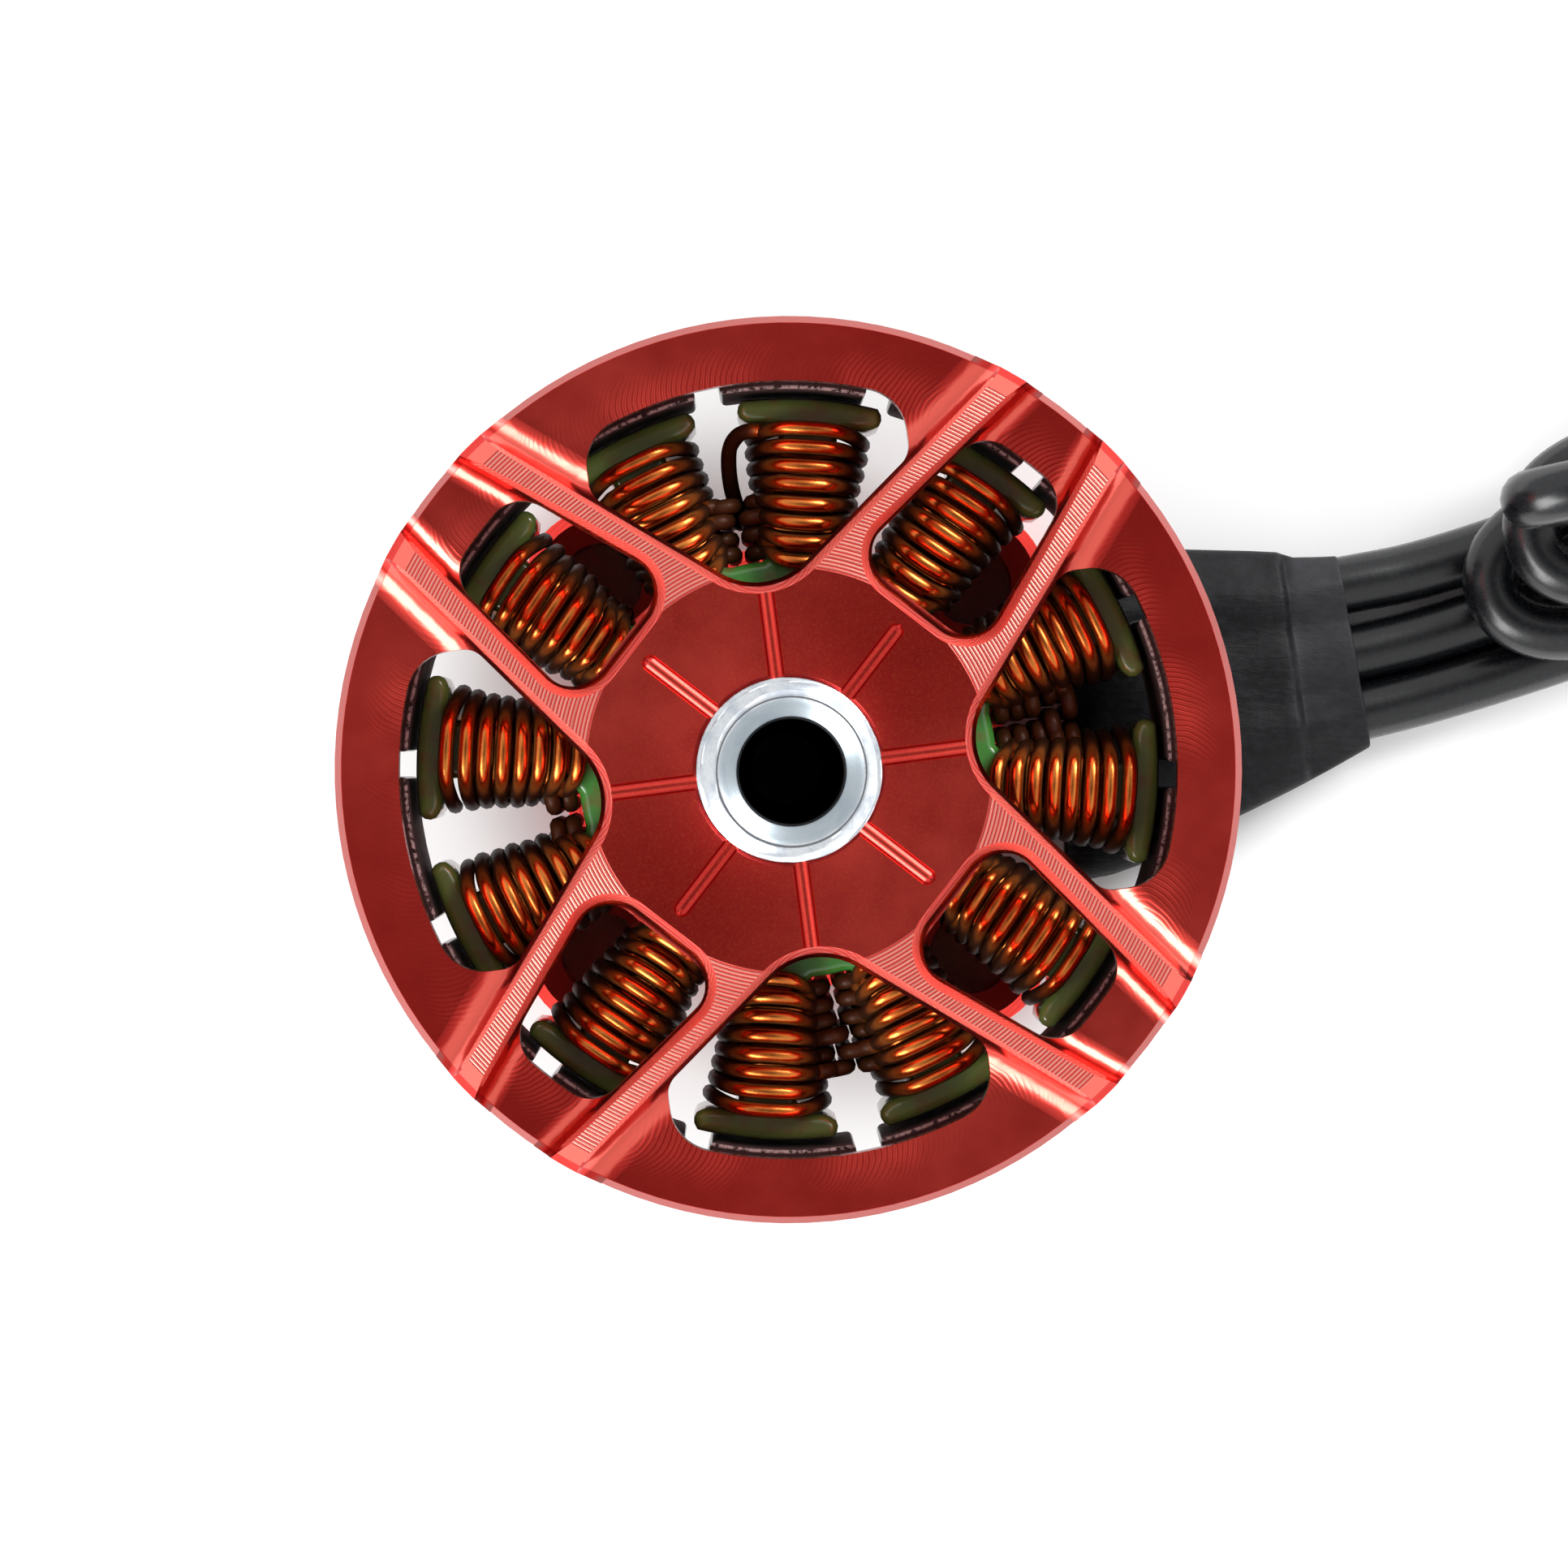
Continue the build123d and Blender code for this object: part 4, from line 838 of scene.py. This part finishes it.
def stator_outline():
    """The lamination's outline for one turn, as (x, y) points, counter-clockwise, finely spaced."""
    pts = []
    for k in range(12):
        a = math.radians(TOOTH_0 + 30 * k)
        ca, sa = math.cos(a), math.sin(a)

        def add(rad, tan):
            pts.append((rad * ca - tan * sa, rad * sa + tan * ca))

        half = math.radians(11.25)
        yoke, w = 6.2, 0.86
        base = math.sqrt(yoke * yoke - w * w)
        # up the right side of the tooth (negative tangential side first)
        for i in range(6):
            t = i / 6
            ang = math.radians(-15) * (1 - t) + t * (-math.asin(w / yoke) - math.radians(2.2))
            add(yoke * math.cos(ang), yoke * math.sin(ang))
        for t in (0.08, 0.25, 0.5):
            add(base + 0.28 * t, -w - 0.22 * (1 - t) ** 2)
        for i in range(9):
            add(base + 0.35 + (9.85 - base - 0.35) * i / 8, -w)
        add(10.02, -w - 0.06)
        add(10.12, -w - 0.22)
        inner = [(10.13, -w - 0.5), (10.14, -w - 0.75), (10.16, -w - 0.95)]
        tip_t = -10.72 * math.sin(half)
        for q in inner:
            if q[1] > tip_t + 0.2:
                add(*q)
        add(10.72 * math.cos(half) - 0.30, tip_t + 0.16)
        add(10.72 * math.cos(half) - 0.22, tip_t + 0.02)
        add(10.72 * math.cos(half) - 0.05, tip_t - 0.05)
        add(10.72 * math.cos(half) + 0.12, tip_t - 0.03)
        for i in range(15):
            b = -half + 0.012 + (2 * half - 0.024) * i / 14
            add(11.0 * math.cos(b), 11.0 * math.sin(b))
        add(10.72 * math.cos(half) + 0.12, -tip_t + 0.03)
        add(10.72 * math.cos(half) - 0.05, -tip_t + 0.05)
        add(10.72 * math.cos(half) - 0.22, -tip_t - 0.02)
        add(10.72 * math.cos(half) - 0.30, -tip_t - 0.16)
        for q in inner[::-1]:
            if q[1] > tip_t + 0.2:
                add(q[0], -q[1])
        add(10.12, w + 0.22)
        add(10.02, w + 0.06)
        for i in range(9):
            add(9.85 - (9.85 - base - 0.35) * i / 8, w)
        for t in (0.5, 0.25, 0.08):
            add(base + 0.28 * t, w + 0.22 * (1 - t) ** 2)
        for i in range(6):
            t = i / 6
            ang = (math.asin(w / yoke) + math.radians(2.2)) * (1 - t) + t * math.radians(15)
            add(yoke * math.cos(ang), yoke * math.sin(ang))
    return np.array(pts)


def stator_mesh():
    out = stator_outline()
    n = len(out)
    tangent = np.roll(out, -1, 0) - np.roll(out, 1, 0)
    tangent /= np.linalg.norm(tangent, axis=1)[:, None]
    inward = np.stack([-tangent[:, 1], tangent[:, 0]], 1)
    for _ in range(2):
        inward = inward + 0.5 * (np.roll(inward, 1, 0) + np.roll(inward, -1, 0))
        inward /= np.linalg.norm(inward, axis=1)[:, None]
    z0, z1, rd = 5.70, 11.70, 0.30
    coat = 0.0
    levels = []
    for i in range(6):
        a = math.radians(90 * i / 5)
        levels.append((z1 - rd * (1 - math.sin(a)), rd * (1 - math.cos(a)) * 0.9))
    prof = [(z0 + z1 - z, ins) for z, ins in levels[::-1]] + levels
    rows = []
    for z, ins in prof:
        q = out + inward * (ins + coat)
        rows.append([(p[0], p[1], z) for p in q])
    verts, faces = rings(rows, n)
    bore = [(5.12 * math.cos(2 * math.pi * k / 96), 5.12 * math.sin(2 * math.pi * k / 96)) for k in range(96)]
    b0 = len(verts)
    verts += [(x, y, z0) for x, y in bore] + [(x, y, z1) for x, y in bore]
    for k in range(96):
        k2 = (k + 1) % 96
        faces.append((b0 + k, b0 + 96 + k, b0 + 96 + k2, b0 + k2))
    me = bpy.data.meshes.new("stator_body")
    me.from_pydata([(x * MM, y * MM, z * MM) for x, y, z in verts], [], faces)
    bm = bmesh.new()
    bm.from_mesh(me)
    bm.verts.ensure_lookup_table()
    for row_start, ring_start in ((0, b0), ((len(prof) - 1) * n, b0 + 96)):
        edges = []
        for start, count in ((row_start, n), (ring_start, 96)):
            for k in range(count):
                e = bm.edges.get((bm.verts[start + k], bm.verts[start + (k + 1) % count]))
                if e:
                    edges.append(e)
        bmesh.ops.triangle_fill(bm, use_beauty=True, use_dissolve=False, edges=edges)
    bmesh.ops.recalc_face_normals(bm, faces=bm.faces)
    bm.to_mesh(me)
    bm.free()
    me.polygons.foreach_set("use_smooth", [True] * len(me.polygons))
    me.set_sharp_from_angle(angle=math.radians(48))
    return link(bpy.data.objects.new("stator_body", me))


stator = stator_mesh()
paint(stator, COAT)
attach(stator, "stator")
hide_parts("stator_core")


# ------------------------------------------------------------------ windings
TURNS = 8
STEPS = 44


def superloop(phi, a, b, nx, nz):
    c, s = math.cos(phi), math.sin(phi)
    return a * math.copysign(abs(c) ** (2 / nx), c), b * math.copysign(abs(s) ** (2 / nz), s)


def coil_paths(seed, hook_side, dives):
    """Two layers of wire round one tooth, in (radial, tangential, z)."""
    r = random.Random(seed)
    paths = []
    # inner layer, out along the tooth
    pts = []
    for i in range(TURNS * STEPS - STEPS // 2):
        u = i / STEPS
        k, frac = int(u), u - int(u)
        adv = smooth01((frac - 0.55) / 0.40)
        t = (k + adv) / TURNS
        rad = 6.66 + 3.2 * t
        x, z = superloop(2 * math.pi * frac, 1.19, 3.45, 4.0, 4.0)
        pts.append((rad, x, 8.70 + z))
    paths.append(pts)
    # outer layer, back in
    pts = []
    jit = [(r.uniform(-0.02, 0.02), r.uniform(-0.05, 0.05), r.uniform(-0.04, 0.04), r.uniform(-0.02, 0.02)) for _ in range(TURNS + 2)]
    total = TURNS * STEPS
    for i in range(total + 1):
        u = i / STEPS
        k, frac = int(u), u - int(u)
        adv = smooth01((frac - 0.56) / 0.38)
        j0, j1 = jit[min(k, TURNS)], jit[min(k + 1, TURNS)]
        dr, dz, dx, tilt = (j0[q] * (1 - adv) + j1[q] * adv for q in range(4))
        t = (k + adv) / (TURNS - 1)  # 0 outermost to 1 innermost
        t = min(t, 1.03)
        phi = 2 * math.pi * frac
        s = math.sin(phi)
        end = abs(s) ** 3
        top_rad = 10.08 - 3.93 * t
        leg_rad = 9.80 - 3.15 * t
        rad = leg_rad + (top_rad - leg_rad) * end + dr + tilt * math.cos(phi)
        wide = 1.95 - 0.26 - 0.50 * t
        arch = 4.31 - 0.22 * abs(2 * t - 0.95) ** 2
        x, z = superloop(phi, wide + dx * (1 - end), arch + dz, 3.4, 2.35)
        pts.append((rad, x * hook_side, 8.72 + z))
    paths.append(pts)
    if not dives:
        return paths
    # the end of the wire leaves the outermost turn, bows out and dives between the teeth
    hook = [
        (9.95, 1.35, 11.9), (9.93, 1.72, 11.75), (9.80, 2.05, 11.45), (9.45, 2.28, 11.0),
        (8.95, 2.30, 10.5), (8.35, 2.20, 10.0), (7.8, 2.02, 9.5), (7.4, 1.9, 8.6), (7.3, 1.85, 7.0), (7.35, 1.85, 5.2),
    ]
    paths.append(catmull([(a, -b * hook_side, c) for a, b, c in hook], 5))
    return paths


def coil_mesh(tooth, seed, hook_side, dives):
    a = math.radians(TOOTH_0 + 30 * tooth)
    ca, sa = math.cos(a), math.sin(a)
    parts = []
    for i, path in enumerate(coil_paths(seed, hook_side, dives)):
        world = [(q[0] * ca - q[1] * sa, q[0] * sa + q[1] * ca, q[2]) for q in path]
        parts.append(tube(world, (0.255, 0.228, 0.235)[i], 10))
    return join_parts(parts)


def slot_wires(angle, outer, seed):
    """Wires that stand packed in a slot, their tops bent into the coil beside it."""
    r = random.Random(seed)
    a = math.radians(angle)
    ca, sa = math.cos(a), math.sin(a)
    parts = []
    rad = 6.52
    while rad < outer:
        for off in ((-0.27, 0.27) if rad < 7.7 else (-0.52, 0.0, 0.52)):
            top = 11.35 + r.uniform(-0.35, 0.35)
            side = 1 if off > 0 or (off == 0 and r.random() < 0.5) else -1
            q = rad + r.uniform(-0.05, 0.05)
            line = [
                (q, off, 5.1), (q, off, 7.5), (q, off, 9.5), (q, off, top - 0.55), (q, off + 0.05 * side, top - 0.15),
                (q, off + 0.26 * side, top), (q, off + 0.62 * side, top - 0.12), (q, off + 0.95 * side, top - 0.5),
            ]
            line = catmull(line, 4)
            parts.append(tube([(u * ca - v * sa, u * sa + v * ca, z) for u, v, z in line], 0.245, 9))
        rad += 0.5
    return parts


SLOT_WIRES = {"a": [(11.5, 8.9, 31)], "b": [(101.5, 8.3, 32), (281.5, 9.2, 33)], "c": [(191.5, 7.2, 34)]}

for key, teeth in (("a", (0, 1, 6, 7)), ("b", (2, 3, 8, 9)), ("c", (4, 5, 10, 11))):
    v, f = join_parts([coil_mesh(t, 100 + t, -1 if t % 2 == 0 else 1, t == 2) for t in teeth] + [p for w in SLOT_WIRES[key] for p in slot_wires(*w)])
    coil = mesh_object("coils_" + key, v, f)
    paint(coil, COPPER)
    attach(coil, "stator")
    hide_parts("winding_phase_" + key)


# ------------------------------------------------------------------ winding ends, twisted in pairs
def tail_mesh(start, y1):
    x0, y0 = start
    line = catmull(
        [(x0, y0, 4.40), (x0, y0 + 0.02 * (y1 - y0), 3.3), (x0 + 0.25, y0 + 0.08 * (y1 - y0), 2.2), (x0 + 1.1, y0 + 0.30 * (y1 - y0), 1.42), (x0 + 2.2, y0 + 0.75 * (y1 - y0), 1.36)],
        10,
    )
    p = np.array(line)
    t = np.gradient(p, axis=0)
    t /= np.linalg.norm(t, axis=1)[:, None]
    length = np.concatenate([[0], np.cumsum(np.linalg.norm(np.diff(p, axis=0), axis=1))])
    u = np.cross(t[0], [0, 1.0, 0])
    u /= np.linalg.norm(u)
    strands = [[], []]
    for i in range(len(p)):
        u = u - t[i] * (u @ t[i])
        u /= np.linalg.norm(u)
        w = np.cross(t[i], u)
        a = 2 * math.pi * length[i] / 3.1
        off = 0.26 * (math.cos(a) * u + math.sin(a) * w)
        strands[0].append(p[i] + off)
        strands[1].append(p[i] - off)
    return join_parts([tube(s, 0.25, 10) for s in strands])


for key, start, y1 in (("a", (7.72, 4.05), 4.75), ("b", (7.72, 2.75), 2.72), ("c", (7.85, -0.55), 0.50)):
    v, f = tail_mesh(start, y1)
    tail = mesh_object("winding_ends_" + key, v, f)
    paint(tail, COPPER)
    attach(tail, "stator")
    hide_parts("winding_tail_" + key)


# ------------------------------------------------------------------ floor and light
def floor():
    me = bpy.data.meshes.new("floor")
    s = 1.5
    me.from_pydata([(-s, -s, -0.00002), (s, -s, -0.00002), (s, s, -0.00002), (-s, s, -0.00002)], [], [(0, 1, 2, 3)])
    obj = link(bpy.data.objects.new("floor", me))
    n = Nodes("floor_white")
    tone = n.mix(n.noise(0.01, 2.0), (0.90, 0.90, 0.90), (0.93, 0.93, 0.93))
    n.set(color=tone, rough=0.7, spec=0.2)
    me.materials.append(n.mat)


floor()


def area(name, loc, aim, size_x, size_y, power, color=(1, 1, 1)):
    d = bpy.data.lights.new(name, "AREA")
    d.shape = "RECTANGLE"
    d.size, d.size_y = size_x, size_y
    d.energy = power
    d.color = color
    o = link(bpy.data.objects.new(name, d))
    o.location = loc
    o.rotation_mode = "QUATERNION"
    o.rotation_quaternion = (Vector(aim) - Vector(loc)).to_track_quat("-Z", "Y")
    return o


area("key_lower_left", (-0.42, -0.42, 0.42), (0, 0, 0.01), 0.45, 0.45, 6.2)
area("fill_upper_right", (0.40, 0.42, 0.46), (0, 0, 0.01), 0.36, 0.36, 5.0)

world = bpy.data.worlds.new("studio")
scene.world = world
world.use_nodes = True
wt = world.node_tree
wt.nodes.clear()
w_out = wt.nodes.new("ShaderNodeOutputWorld")
w_bg = wt.nodes.new("ShaderNodeBackground")
w_co = wt.nodes.new("ShaderNodeTexCoord")
w_sep = wt.nodes.new("ShaderNodeSeparateXYZ")
w_map = wt.nodes.new("ShaderNodeValToRGB")
wt.links.new(w_co.outputs["Generated"], w_sep.inputs[0])
wt.links.new(w_sep.outputs[2], w_map.inputs["Fac"])
ramp = w_map.color_ramp
ramp.elements[0].position, ramp.elements[0].color = 0.0, (0.80, 0.81, 0.82, 1)
ramp.elements[1].position, ramp.elements[1].color = 1.0, (0.11, 0.11, 0.115, 1)
for pos, val in ((0.45, 1.0), (0.85, 0.95), (0.95, 0.55), (0.985, 0.15)):
    e = ramp.elements.new(pos)
    e.color = (val, val, val, 1)
wt.links.new(w_map.outputs["Color"], w_bg.inputs["Color"])
w_bg.inputs["Strength"].default_value = 1.0
wt.links.new(w_bg.outputs[0], w_out.inputs["Surface"])
